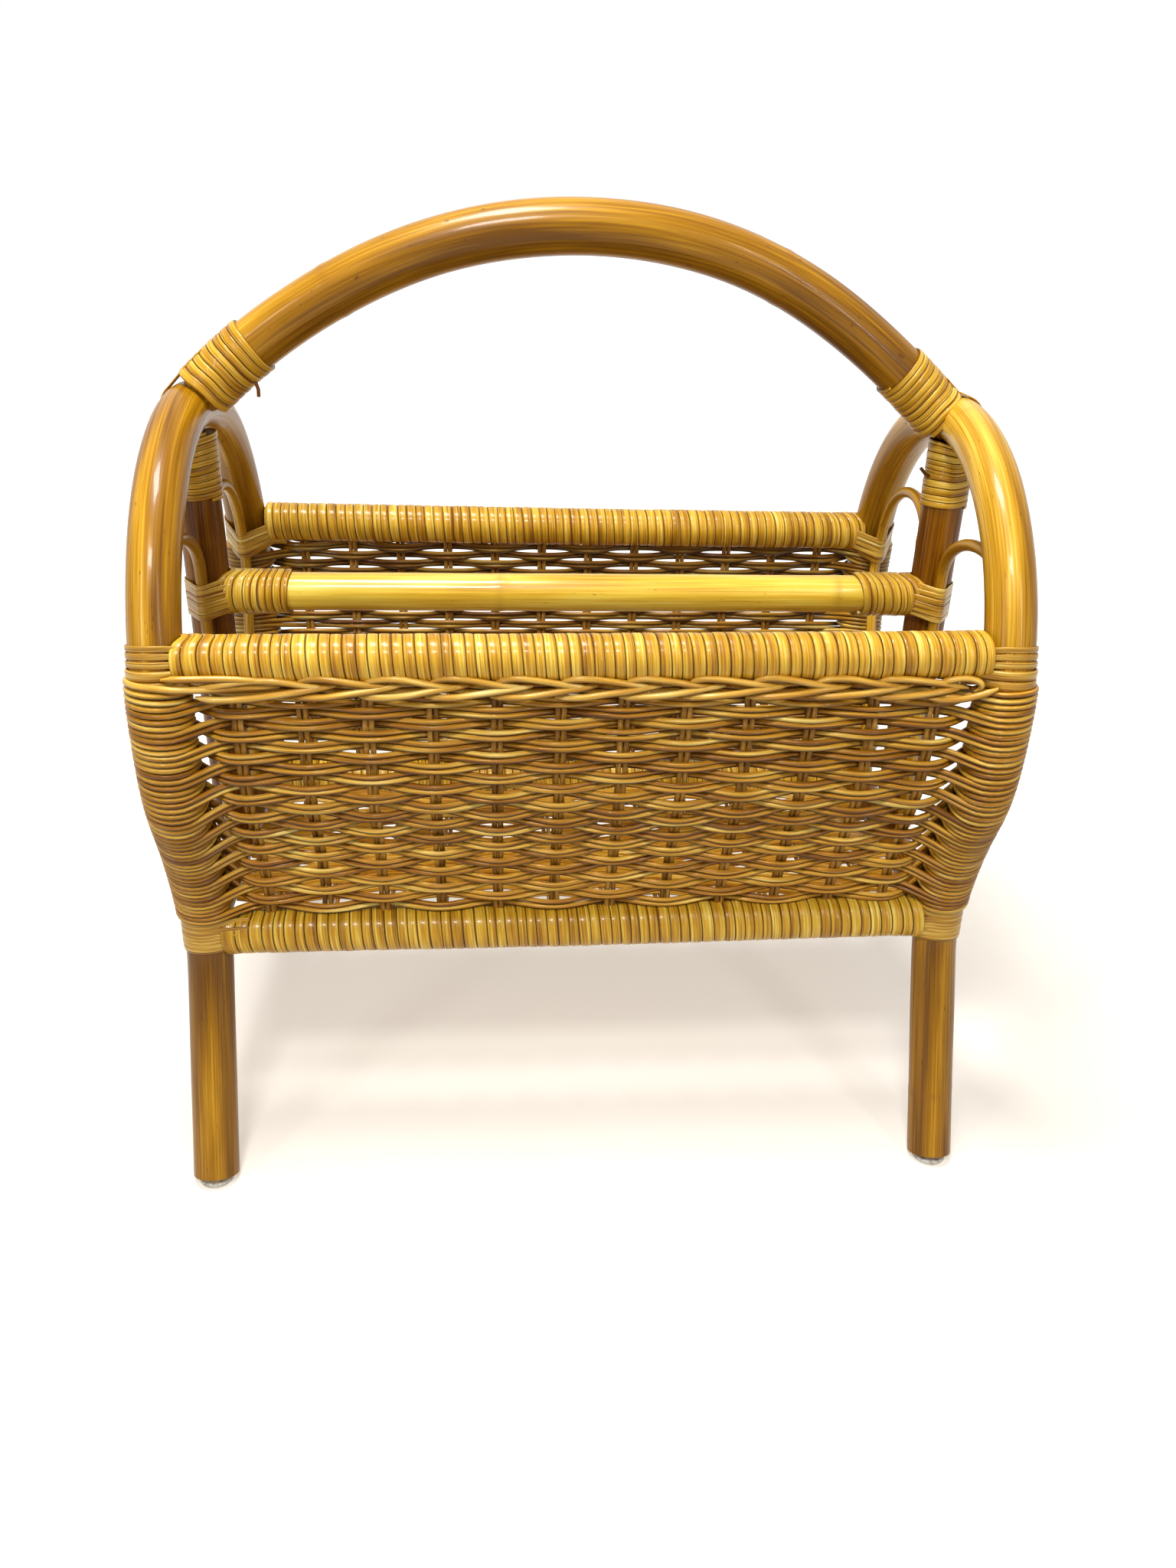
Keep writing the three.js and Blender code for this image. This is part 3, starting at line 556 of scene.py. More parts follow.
def weathered(piece, axis_route, radius, rings, seed, ring_width=1.3, swell=0.28):
    """Swells a pole a little at its growth rings, and marks them for the finish."""
    own = np.random.default_rng(seed)
    grain = grain_of(piece)
    along = (grain[:, 0] - grain[:, 0].min()) / MM
    ring = np.zeros(len(along))
    for mark_at in rings:
        lean = own.uniform(-2.5, 2.5, 2)
        offset = along - mark_at - (grain[:, 1:] / MM / radius) @ lean
        ring = np.maximum(ring, np.exp(-(offset / ring_width) ** 2))
    # Two slow waves, 195 and 82 mm long, leave the pole slightly thick and thin.
    wave = 0.12 * np.sin(along / 31 + own.uniform(0, 6)) + 0.1 * np.sin(along / 13 + own.uniform(0, 6))
    places = points_of(piece)
    middle, _ = sampled(axis_route, np.clip(along, 0, distances(axis_route)[-1]))
    outward = places / MM - middle
    outward /= np.maximum(np.linalg.norm(outward, axis=1, keepdims=True), 1e-6)
    move_points(piece, places + outward * (swell * ring - 0.12 + wave * 0.5)[:, None] * MM)
    mark(piece, "ring", ring * 0.5)


# %% Hoops
ACROSS = np.array([1.0, 0.0, 0.0])
hoops = (  # rings in millimetres from the front foot, and tints at three heights
    ("left_hoop", -1, 3, (52, 262, 470, 640, 860), (0.2, 0.05, 0.42)),
    ("right_hoop", 1, 5, (38, 250, 452, 668, 880), (0.2, 0.3, 0.7)))
for name, side, seed, rings, tints in hoops:
    route = hoop_route + ACROSS * side * SPAN
    # The tints paint light and shade: each hoop is darker low down and paler at the top, where the
    # light falls from above, and the right hoop is paler than the left.
    shades = np.interp(route[:, 2], [60, 140, 330], tints)
    hoop = laid(f"{name}_pole", [route], radius=HOOP_R, sides=32, tints=[shades])
    weathered(hoop, route, HOOP_R, rings, seed)
    places = points_of(hoop)
    places[:, 2] = np.maximum(places[:, 2], GLIDE_THICK * MM)  # feet sawn level, on their glides
    move_points(hoop, places)
    finish(hoop, "pole", pole_varnish, name)

# %% [markdown]
# ## The bow handle, the posts and the rails between
# The handle is the same stock, bent to a flat bow and cut to sit on the tops of the hoops. The
# posts, the centre rail and the cross bars are straight poles. A cylinder would do for a straight
# one, but the same bending tool gives them the grain and the growth rings as well.

# %% Handle
rise = HANDLE_TOP - HANDLE_R - APEX
bow_radius = (SPAN**2 + rise**2) / (2 * rise)
COPE = 4  # the handle stops this far short of the middle of a hoop
sweep = np.arcsin(SPAN / bow_radius) - COPE / bow_radius
turn = np.linspace(-sweep, sweep, 120)
handle_route = np.c_[bow_radius * np.sin(turn), np.zeros(len(turn)),
                     HANDLE_TOP - HANDLE_R - bow_radius + bow_radius * np.cos(turn)]
# The pole sprang back unevenly after bending, so its right shoulder is flatter than its left.
for shoulder, width, drop in ((-150, 60, 2.2), (186, 75, 8.5)):
    handle_route[:, 2] -= drop * np.exp(-((handle_route[:, 0] - shoulder) / width) ** 2)
coped = pared(handle_route, 14, 0.6)  # both ends are pared to fit a hoop
# Painted light and shade in the tint: the handle is darker than the hoops, for the shade on its front,
# and paler towards its left end, where the light falls.
painted_light_tint = np.interp(handle_route[:, 0], [-180, -60, 40, 180], [0.6, 0.25, 0.0, 0.0])
handle = laid("bow_handle_pole", [handle_route], radius=HANDLE_R, sides=32, sizes=[coped],
              tints=[painted_light_tint])
weathered(handle, handle_route, HANDLE_R, (95, 330), 11)
finish(handle, "pole", pole_varnish, "handle_bow")

# %% Posts, cross bars and centre rail
BAR_TOP = RAIL_LOW + LOW_R + TOUCH  # what stands on a cross bar begins here
for side, end in ENDS:
    x = side * SPAN
    route = evenly([[x, 0, BAR_TOP], [x, 0, APEX - HOOP_R - TOUCH]], 4.0)
    post = laid(f"{end}_post_pole", [route], radius=POST_R, sides=32)
    weathered(post, route, POST_R, (70, 180), 17 + side)
    finish(post, "dark_pole", dark_pole_varnish, f"{end}_center_post")
    half = leg_half(RAIL_LOW) - HOOP_R - TOUCH
    route = evenly([[x, -half, RAIL_LOW], [x, half, RAIL_LOW]], 4.0)
    bar = laid(f"{end}_cross_bar_pole", [route], radius=LOW_R, sides=32)
    weathered(bar, route, LOW_R, (50,), 23 + side)
    finish(bar, "dark_pole", dark_pole_varnish, f"{end}_cross_bar")
inner = SPAN - POST_R - TOUCH
route = evenly([[-inner, 0, RAIL_CENTER], [inner, 0, RAIL_CENTER]], 4.0)
center = laid("center_rail_pole", [route], radius=CENTER_R, sides=32)
weathered(center, route, CENTER_R, (150, 342), 29)
# The centre rail's pale finish is painted light from above.
finish(center, "pole", painted_light_pole_varnish, "center_rail")

# %% [markdown]
# ## The thin rods
# At each end two thin rods run up from the cross bar, one on each side of the post, arch over and
# come down inside the legs. Straight lengths and arcs would make a rod, but they leave a crease at
# each join, so its way is one smooth route. The front rods were bent nearer to the leg and the
# rear ones nearer to the post, so one of each is made, and the other end of the basket gets
# mirrored copies.

# %% Where a rod is tied
LEG_REED = 2.9  # thickness of the reeds wound round a leg
TIE_REACH = 16.5  # a tied rod keeps beside the leg this far above and below the top rail
BAND_REACH = 12  # and beside the post this far above the centre rail
post_rod = POST_R + ROD_R + 2 * TOUCH
leg_rod = HOOP_R + 0.31 + LEG_REED + ROD_R + TOUCH


def beside_leg(height, onward=0.0):
    """The middle of a rod inside the leg at a height, or further on along it."""
    place, ahead = sampled(front_leg, [leg_mark(height)])
    out = np.array([0.0, -ahead[0, 2], ahead[0, 1]])
    return place[0] - out * leg_rod + ahead[0] * onward


band_top = RAIL_CENTER + BAND_REACH + ROD_R
tie_high, tie_low = RAIL_TOP + TIE_REACH, RAIL_TOP - TIE_REACH
fall = tie_low - RAIL_LOW
tie = beside_leg(tie_high)
foot_in = leg_rod + 5.7  # a rod's foot stands a little further in than where it is tied
base = np.array([0.0, foot_in - leg_half(RAIL_LOW), BAR_TOP])
base_lean = np.tan(np.radians(11))
print("a rod is tied beside the leg from", tie_low, "to", tie_high, "mm")

# %% Rods


def rod_way(crown_half, crown_height):
    """From the cross bar up beside the post, over the crown and down inside the leg."""
    crown = np.array([0.0, -crown_half, crown_height])
    rise = 0.55 * (crown_height - band_top)
    return evenly(np.vstack([
        [[0, -post_rod, BAR_TOP], [0, -post_rod, band_top]],
        bezier((0, -post_rod, band_top), (0, -post_rod, band_top + rise),
               (0, -crown_half + 0.55 * (crown_half - post_rod), crown_height), crown)[1:],
        bezier(crown, (0, -crown_half + 0.55 * (tie[1] + crown_half), crown_height),
               beside_leg(tie_high, rise), tie)[1:],
        [beside_leg(tie_low)],
        bezier(beside_leg(tie_low), beside_leg(tie_low, -0.1 * fall),
               base + [0, -0.4 * fall * base_lean, 0.4 * fall], base)[1:],
    ]), 2.5)


for row, half, height in (("front", 69, 342), ("rear", 49, 343)):
    way = rod_way(half, height) * [1, 1 if row == "front" else -1, 1]
    rod = laid(f"left_{row}_rod", [way - ACROSS * SPAN], radius=ROD_R, sides=14, tints=[0.5])
    finish(copied(rod, f"right_{row}_rod", MIRROR_X), "pole", pole_varnish, f"right_{row}_rod_arch")
    finish(rod, "pole", pole_varnish, f"left_{row}_rod_arch")

# %% [markdown]
# ## Winding with cane
# The rails and joints are wound with flat cane, turn beside turn. Rings set side by side would
# look alike, but a real winding is one strip that climbs as it goes round. So a strip is drawn
# along a helix on an upright pole, its turns are made uneven, as a hand leaves them, and the
# whole winding is then laid on its rail or handle.

# %% The winding tool


def wound(name, radius, length, turns, thickness=1.3, gap=0.1, uneven=0.2, steps=26, lean=0.0,
          begin=3.9):
    """Cane wound on an upright pole, from height zero up. It begins and ends out of sight, at an
    angle of 3.9, and lean tilts the turns."""
    pitch = length / turns
    angle = 2 * np.pi * np.arange(turns * steps + 1) / steps
    climb = pitch * angle / (2 * np.pi)
    reach = radius + thickness / 2 + 0.05  # just off the pole
    helix = np.c_[reach * np.cos(angle + begin), reach * np.sin(angle + begin), climb]
    shade = chance.random(turns + 2)
    per_turn = np.interp(angle / (2 * np.pi), np.arange(turns + 2), shade)
    piece = laid(name, [helix], section=strip_section(pitch - gap, thickness), tints=[per_turn])
    mark(piece, "edge", np.abs(grain_of(piece)[:, 2]) / MM / ((pitch - gap) / 2))
    places = points_of(piece) / MM
    widths = 1 + chance.uniform(-uneven, uneven, turns)
    knots = np.concatenate([[0], np.cumsum(widths)]) * length / widths.sum()
    places[:, 2] = np.interp(places[:, 2], np.linspace(0, length, turns + 1), knots)
    proud = 1 + np.interp(places[:, 2], knots, chance.uniform(-0.012, 0.018, turns + 1))
    places[:, :2] *= proud[:, None]
    places[:, 2] += lean * places[:, 0]
    move_points(piece, places * MM)
    return piece


def hug(piece, length, reach, across=1, lift=0.1, lift_fades=9, push_fades=24):
    """Pushes the end turns of a winding up against a round pole, and lifts them over its slings.
    Reach says how far each end is pushed, and one number alone leaves the second end as it is."""
    places = points_of(piece) / MM
    side = 1 - np.exp(-3 * (places[:, across] / np.abs(places[:, across]).max()) ** 2)
    for start, way, push in zip((0, length), (-1, 1), reach):
        away = np.abs(places[:, 2] - start)
        places[:, :2] *= (1 + lift * side * np.exp(-away / lift_fades))[:, None]
        places[:, 2] += way * push * side * np.exp(-away / push_fades)
    move_points(piece, places * MM)


# %% Rails and their wraps
TOP_RAIL_R = 10.5
LOW_RAIL_R = 11.0
length = 2 * (SPAN - HOOP_R - 0.4)
x = np.linspace(-length / 2, length / 2, 97)
rails = (  # turns of cane, and how far the rail is off its height at the left, middle and right
    ("top", TOP_RAIL_R, RAIL_TOP, 70, (-0.8, 0.2, 2.0)),
    ("bottom", LOW_RAIL_R, RAIL_LOW, 66, (-3.5, -2.6, 0.8)))
for rail, radius, height, turns, sag in rails:
    off = np.interp(x, [x[0], x[len(x) // 2], x[-1]], sag)
    line = np.c_[x, np.full(len(x), -leg_half(height)), height + off]
    pole = laid(f"front_{rail}_rail_pole", [line], radius=radius, sides=24)
    finish(copied(pole, f"rear_{rail}_rail_pole", HALF_TURN), "pole", pole_varnish, f"rear_{rail}_rail")
    finish(pole, "pole", pole_varnish, f"front_{rail}_rail")
    wrap = wound(f"front_{rail}_cane", radius, length, turns)
    hug(wrap, length, (5.0, 0.8))
    bend(wrap, line, [0, -1, 0])
    finish(copied(wrap, f"rear_{rail}_cane", HALF_TURN), "cane", cane_wound, f"rear_{rail}_rail_wrap")
    finish(wrap, "cane", cane_wound, f"front_{rail}_rail_wrap")

# %% Bindings of the handle, the posts and the centre rail
POST_WOUND = 34.5  # lengths of pole that are wound
RAIL_WOUND = 33.5
from_ends = {-1: handle_route, 1: handle_route[::-1]}  # the handle's way, from either hoop
for side, end in ENDS:
    length, turns, start = (36.0, 8, 10.0) if side < 0 else (37.0, 10, 9.0)
    binding = wound(f"{end}_handle_cane", HANDLE_R, length, turns, thickness=1.5, uneven=0.35)
    hug(binding, length, (2.5,), across=0, lift=0.02)
    move_points(binding, points_of(binding) + UP * start * MM)
    bend(binding, from_ends[side], [0, side, 0])
    finish(binding, "cane", cane_wound, f"{end}_handle_binding")
    binding = wound(f"{end}_post_cane", POST_R, POST_WOUND, 11, thickness=1.1, uneven=0.4)
    hug(binding, POST_WOUND, (2.5,), across=0, lift=0.0)
    top = APEX - HOOP_R - 0.5
    line = evenly([[side * SPAN, 0, top], [side * SPAN, 0, top - POST_WOUND]], 3.0)
    bend(binding, line, [0, 1, 0])
    finish(binding, "cane", cane_wound, f"{end}_post_binding")
    binding = wound(f"{end}_center_rail_cane", CENTER_R, RAIL_WOUND, 9, thickness=1.7, uneven=0.3,
                    lean=0.06)
    hug(binding, RAIL_WOUND, (8.0,), lift=0.08)
    first, last = side * (SPAN - POST_R - 0.4), side * (SPAN - POST_R - 0.4 - RAIL_WOUND)
    line = evenly([[first, 0, RAIL_CENTER], [last, 0, RAIL_CENTER]], 3.0)
    bend(binding, line, [0, side, 0])
    finish(binding, "cane", cane_wound, f"{end}_center_rail_binding")

# %% [markdown]
# ## Straps and loose ends
# From each handle binding a flat strap runs over the hoop and down to the post. It could be a
# bent box, but it is three strands side by side, so three tubes are flattened and bent on one
# route. Two ends of cane were left sticking out of their bindings, and show in the photograph.

# %% Straps over the hoops
STRAND_HALF = 0.6  # half the thickness of a strand, with the gap below it
for side, end in ENDS:
    from_end = from_ends[side] * [side, 1, 1] - [SPAN, 0, APEX]
    handle_top, ahead = sampled(from_end, [24.0, 14.0])
    handle_top += np.c_[-ahead[:, 2], ahead[:, 1], ahead[:, 0]] * -(HANDLE_R + STRAND_HALF)
    hoop_touch = HOOP_R + STRAND_HALF
    far = np.hypot(handle_top[-1, 0], handle_top[-1, 2])
    # It leaves the hoop where a straight line to the handle just touches it.
    leave = np.arctan2(handle_top[-1, 2], handle_top[-1, 0]) - np.arccos(hoop_touch / far)
    angle = np.linspace(leave, 0, 14)
    over = np.c_[hoop_touch * np.cos(angle), np.zeros(len(angle)), hoop_touch * np.sin(angle)]
    down = [[POST_R + 0.5, 0, -15], [POST_R + 0.5, 0, -30]]
    way = evenly(np.vstack([handle_top, over, down]), 2.0)
    up_to = np.linspace(0, distances(way)[-1], 40)
    upright = [np.c_[np.zeros(40), np.full(40, shift), up_to] for shift in (-2.1, 0, 2.1)]
    strap = laid(f"{end}_hoop_strap", upright, radius=1.0, sides=12)
    move_points(strap, points_of(strap) * [0.5, 1.9, 1])  # flattened to 1 mm and spread to 12 mm
    bend(strap, (way + [SPAN, 0, APEX]) * [side, 1, 1], [0, side, 0])
    finish(strap, "cane", cane_skin)

# %% Ends of cane that stick out of two bindings
place, ahead = sampled(handle_route, [34.0])
nub = place[0] + [ahead[0, 2] * 14.0, -6.0, -ahead[0, 0] * 14.0]
post_nub = np.array([SPAN - POST_R - TOUCH, -4.0, 366.0])
ends = laid("cane_ends", [
    evenly(np.array([nub, nub + [1.2, -0.8, -3.4], nub + [1.0, -0.4, -7.0]]), 1.2),
    evenly(np.array([post_nub, post_nub + [-2.6, -0.8, 1.4], post_nub + [-5.6, -0.6, 4.6]]), 1.2),
], radius=0.95, sides=8)
finish(ends, "cane", dark_pole_varnish)

# %% [markdown]
# ## Weaving a side
# One pair of thin reeds runs to and fro through twelve stakes, over one and behind the next, and
# at each end it goes round the leg more than one and a half times, which covers the leg. The weave
# could be a flat sheet with a pattern, but light comes through it and every reed casts a shadow on
# the next, so each reed is laid along its real way.

# %% Sizes of the weave
ROWS = 24
ROW_LOW, ROW_HIGH = 151.2, 288.4  # heights of the lowest and the highest row
STAKES = 12
STAKE_HALF = 170.0  # from the middle to the last stake
STAKE_R = 1.45
STAKE_APART = 1.5  # each stake is two reeds, this far from its middle
REED_R = 1.52
LEG_TURN_R = HOOP_R + 0.1 + REED_R
stake_x = np.linspace(-STAKE_HALF, STAKE_HALF, STAKES)
stake_pitch = stake_x[1] - stake_x[0]
steps_up = np.linspace(1.07, 0.93, ROWS - 1)  # rows are beaten closer towards the top
row_mark = np.interp(np.concatenate([[0], np.cumsum(steps_up)]), [0, steps_up.sum()],
                     [leg_mark(ROW_LOW), leg_mark(ROW_HIGH)])
row_pitch = np.gradient(row_mark)
wave = STAKE_R + REED_R  # how far a reed swings out and in to pass a stake
print("rows every", row_pitch.round(2)[[0, -1]], "mm, stakes every", round(stake_pitch, 2), "mm")


def on_side(x, along, out):
    """A place on the front side: across the basket, up along the legs, and out from them."""
    place, ahead = sampled(front_leg, np.asarray(along, float))
    normal = np.c_[np.zeros(len(ahead)), -ahead[:, 2], ahead[:, 1]]
    place = place + normal * np.asarray(out, float)[:, None]
    place[:, 0] = x
    return place


def round_leg(side, first, last, middle, offset, pitch):
    """Reed round a leg between two angles, from the side of the stakes by way of the front."""
    angle = np.radians(np.linspace(first, last, max(int(abs(last - first) / 15), 2) + 1))
    along = middle + pitch * (angle / (2 * np.pi) - 1) + offset
    x = side * (SPAN - LEG_TURN_R * np.cos(angle))
    return np.c_[x, along, LEG_TURN_R * np.sin(angle)]


# %% One reed's way
MEETS = 61.5  # angle at which a reed that comes from the first stake meets the leg
TUCKED = 268  # angle, behind the leg, at which the next row takes over
SAG = (-3.2, -2.4, 0.0)  # the lowest row hangs with the bottom rail: left, middle and right
SAG_ROWS = 12


def run_through(row, reed):
    """A reed's way through the stakes, out past one and in past the next."""
    drift = np.interp(stake_x, stake_x[::3], chance.uniform(-0.25, 0.25, 4)) + chance.uniform(
        -0.15, 0.15, STAKES)
    sign = -1 if row % 2 == 0 else 1
    depth = sign * wave * (-1.0) ** np.arange(STAKES) + chance.uniform(-0.15, 0.15, STAKES)
    middle = row_mark[row] + reed * REED_R
    share = np.linspace(0, 1, 9)[:-1]
    ease = (1 - np.cos(np.pi * share)) / 2
    twist = np.sin(np.pi * share) ** 2  # the pair turns a little where it crosses over
    x, along, out = [], [], []
    for i in range(STAKES - 1):
        x.append(stake_x[i] + share * stake_pitch)
        along.append(middle - reed * 0.26 * twist + drift[i] + (drift[i + 1] - drift[i]) * share)
        out.append(depth[i] + (depth[i + 1] - depth[i]) * ease - reed * 0.7 * twist)
    run = np.c_[np.concatenate(x), np.concatenate(along), np.concatenate(out)]
    run = np.vstack([run, [stake_x[-1], middle + drift[-1], depth[-1]]])
    run[:, 1] += np.interp(run[:, 0], [-SPAN, 0, SPAN], SAG) * max(1 - row / SAG_ROWS, 0)
    return run


def turn_back(run, row, reed, side):
    """From behind the leg, round it and on to where the run begins or ends."""
    from_front = (row % 2 == 0) == (side < 0)
    middle = row_mark[row] + (row_pitch[row] if from_front else -row_pitch[row]) / 2
    first = MEETS if from_front else 720 - MEETS
    turn = round_leg(side, first, TUCKED, middle, reed * REED_R, row_pitch[row])
    end = run[0] if side < 0 else run[-1]
    leave = np.array([-side * np.sin(np.radians(MEETS)), 0.0,
                      (1 if from_front else -1) * -np.cos(np.radians(MEETS))])
    link = bezier(turn[0], turn[0] + leave * 9, end + [side * 12, 0, 0], end, 8)
    return np.vstack([turn[::-1], link[1:-1]])


# %% Weavers
weavers = []
for row in range(ROWS):
    for reed in (-1, 1):
        run = run_through(row, reed)
        way = np.vstack([turn_back(run, row, reed, -1), run, turn_back(run, row, reed, 1)[::-1]])
        weavers.append(on_side(way[:, 0], way[:, 1], way[:, 2]))
weave = laid("front_weavers", weavers, radius=REED_R, sides=8)
# Painted shade, darker under each reed and on the side that faces into the basket.
painted_reed_shade(weave, 0.95)
rear_weave = copied(weave, "rear_weavers", HALF_TURN)
finish(weave, "reed", reed_core, "front_panel", "left_front_leg_wrap", "right_front_leg_wrap")
finish(rear_weave, "reed", reed_core, "rear_panel", "left_rear_leg_wrap", "right_rear_leg_wrap")

# %% Stakes
foot_mark, head_mark = leg_mark(RAIL_LOW + 8), leg_mark(293)
stakes = []
for x in stake_x:
    for reed in (-1, 1):
        marks = np.arange(foot_mark, head_mark, 3.0)
        sway = chance.uniform(-0.2, 0.2, len(marks))
        stakes.append(on_side(x + reed * STAKE_APART + sway, marks, 0.25 * np.sin(marks / 2)))
stake_piece = laid("front_stakes", stakes, radius=STAKE_R, sides=8)
finish(copied(stake_piece, "rear_stakes", HALF_TURN), "reed", stake_reed)
finish(stake_piece, "reed", stake_reed)

# %% [markdown]
# ## The braided border
# Above the last row the stakes bend over to the right and lock behind and in front of each other,
# like a rope laid on the weave. A twisted rope would look nearly the same from afar, but its
# strands never end, and here each one dives behind a stake. So the way of one pair of reeds is
# drawn, and repeated for every stake. The two ends of the border are drawn one by one as well,
# because there the reeds start round one leg and turn back at the other.

# %% Ways of the border's reeds, listed
# Each row is a place: across, up along the legs from the border's line, and out from the side.
# The upper and the lower way count across in shares of the stake pitch, from their own stake.
upper_way = np.array([
    (-0.05, 1.0, 5.5), (0.05, 3.3, 7.0), (0.25, 4.6, 8.3), (0.55, 4.0, 8.8), (0.9, 2.2, 8.2),
    (1.2, 0.6, 6.8), (1.45, -0.4, 5.4)])
lower_way = np.array([
    (-0.1, -5.2, 3.5), (0.08, -4.8, 6.2), (0.35, -4.2, 8.0), (0.7, -2.8, 8.6), (1.05, -1.2, 7.8),
    (1.35, -0.1, 6.2), (1.55, 0.6, 5.0)])
bend_round = np.radians(np.linspace(250, 90, 9))
leg_reach = HOOP_R + 1.45
starter = np.c_[leg_reach * np.cos(bend_round) - SPAN, np.linspace(4.2, 1.4, 9),
                leg_reach * np.sin(bend_round)]
# These count across in millimetres: the start round the left leg, a second reed beside it, the
# first pair, and the two ends that turn back at the right leg.
by_hand = (
    [*starter, (-196, 0.8, 14.6), (-186, 0.4, 12.4), (-174, 0.2, 9.6), (-160, 0.4, 6.8),
     (-148, 0.2, 5.0)],
    [(-200, 4.6, 13.0), (-194, 5.2, 14.4), (-184, 5.0, 12.6), (-172, 4.8, 10.6), (-158, 3.8, 9.0),
     (-145, 1.6, 7.0)],
    [(-188, -0.4, 10.4), (-183, 0.6, 11.2), (-173, 2.0, 10.4), (-162, 3.6, 9.0), (-151, 3.6, 8.8),
     (-142, 2.2, 8.2), (-133, 0.6, 6.8), (-125, -0.4, 5.4)],
    [(-186, -3.6, 9.6), (-180, -4.6, 10.2), (-170, -4.9, 9.4), (-159, -4.2, 8.6), (-148, -2.8, 8.6),
     (-137, -1.2, 7.8), (-128, -0.1, 6.2), (-122, 0.6, 5.0)],
    [(168, 1.6, 7.0), (175, 4.2, 8.6), (182, 4.7, 9.2), (188, 3.0, 9.8), (189, 0.2, 9.4),
     (186, -2.0, 7.6)],
    [(164, -5.4, 6.8), (173, -6.0, 8.4), (182, -4.8, 9.4), (190, -2.4, 10.6), (196, 0.6, 12.4)])
print(len(by_hand), "reeds drawn one by one, and a pair for each further stake")

# %% Border
BORDER_MARK = leg_mark(290.5)
BORDER_END = 187  # the pairs are cut off here, beside the right leg


def smooth(points, count=22):
    """A rounder line through a few points, by cutting its corners three times."""
    for _ in range(3):
        low, high = points[:-1], points[1:]
        inner = np.stack([0.75 * low + 0.25 * high, 0.25 * low + 0.75 * high], 1)
        points = np.vstack([points[:1], inner.reshape(-1, 3), points[-1:]])
    return evenly(points, distances(points)[-1] / count)


strands = []
for table in by_hand:
    way = smooth(np.array(table, float))
    strands.append(on_side(way[:, 0], BORDER_MARK + way[:, 1], way[:, 2]))
for i in range(1, STAKES):
    for table in (upper_way, lower_way):
        n = len(table)
        way = table * [stake_pitch, 1, 1] + np.c_[
            np.full(n, stake_x[i]), chance.uniform(-0.35, 0.35, n), chance.uniform(-0.2, 0.2, n)]
        way = way[way[:, 0] < BORDER_END]
        if len(way) > 2:
            way = smooth(way)
            strands.append(on_side(way[:, 0], BORDER_MARK + way[:, 1], way[:, 2]))
pale = [chance.uniform(0.55, 1.0) for _ in strands]
slanted = [pared(strand, 5, 0.4) for strand in strands]  # the ends are cut on the slant
border = laid("front_border_braid", strands, radius=1.75, sides=10, sizes=slanted, tints=pale)
# Painted shade under the border's reeds and on their inner side, lighter than on the weave.
painted_reed_shade(border, 0.65)
finish(copied(border, "rear_border_braid", HALF_TURN), "reed", border_reed, "rear_border")
finish(border, "reed", border_reed, "front_border")

# %% [markdown]
# ## Slings of cane at the joints
# Where a rail meets a leg, a few strands of cane are drawn round the leg and the rod beside it,
# and their ends lie along the rail, under the first turns of its wrap. Rings would do for a bare
# pole, but a strand pulled tight round two poles runs straight between them, so each way is worked
# out as the hull of the poles' circles.

# %% The sling tool
CANE_WIDE, CANE_THICK = 5.0, 1.35


def hull(circles, first, last, steps=26):
    """A strand pulled tight round circles (across, out, radius), by the angle that it faces."""
    points = []
    for angle in np.radians(np.linspace(first, last, steps)):
        heading = np.array([np.cos(angle), np.sin(angle)])
        tight = max(circles, key=lambda c: c[0] * heading[0] + c[1] * heading[1] + c[2])
        points.append(np.array(tight[:2]) + tight[2] * heading)
    return np.array(points)


def sling(name, strands, circles, rail_radius, place_of, last=-122.0, arm=24.0, both=True):
    """Strands (height, width, drop) round the circles, with an arm along one side of the rail, or
    along both sides."""
    routes, sizes = [], []
    for height, width, drop in strands:
        thick = CANE_THICK * width / CANE_WIDE
        grown = [(a, o, r + 0.15 + thick / 2) for a, o, r in circles]
        loop = hull(grown, 122.0, last)
        flat = np.sqrt(max(rail_radius**2 - height**2, 9.0)) + TOUCH + thick / 2
        way = np.vstack([[[-arm, flat - 2.0], [-arm * 0.65, flat - 1.0]], loop])
        if both:
            way = np.vstack([way, [[-arm * 0.65, 1.0 - flat], [-arm, 2.0 - flat]]])
        share = distances(way) / distances(way)[-1]
        lift = height - drop * np.sin(np.pi * share) + chance.uniform(-0.25, 0.25)
        squeeze = np.where(way[:, 0] < -12, 0.9, 1.0)  # the arms draw together along the rail
        routes.append(place_of(way[:, 0], way[:, 1], lift * squeeze))
        sizes.append(np.full(len(way), width / CANE_WIDE))
    return laid(name, routes, section=strip_section(CANE_WIDE, CANE_THICK), sizes=sizes)


# %% Slings at the legs
leg_circles = [(0.0, 0.0, HOOP_R), (0.0, -leg_rod, ROD_R)]


def at_left_front(height):
    """Gives the function that turns a sling's own places into places at the left front leg."""
    def place(across, out, lift):
        spot = on_side(0.0, leg_mark(height + lift), out)
        spot[:, 0] = -SPAN - across
        return spot
    return place


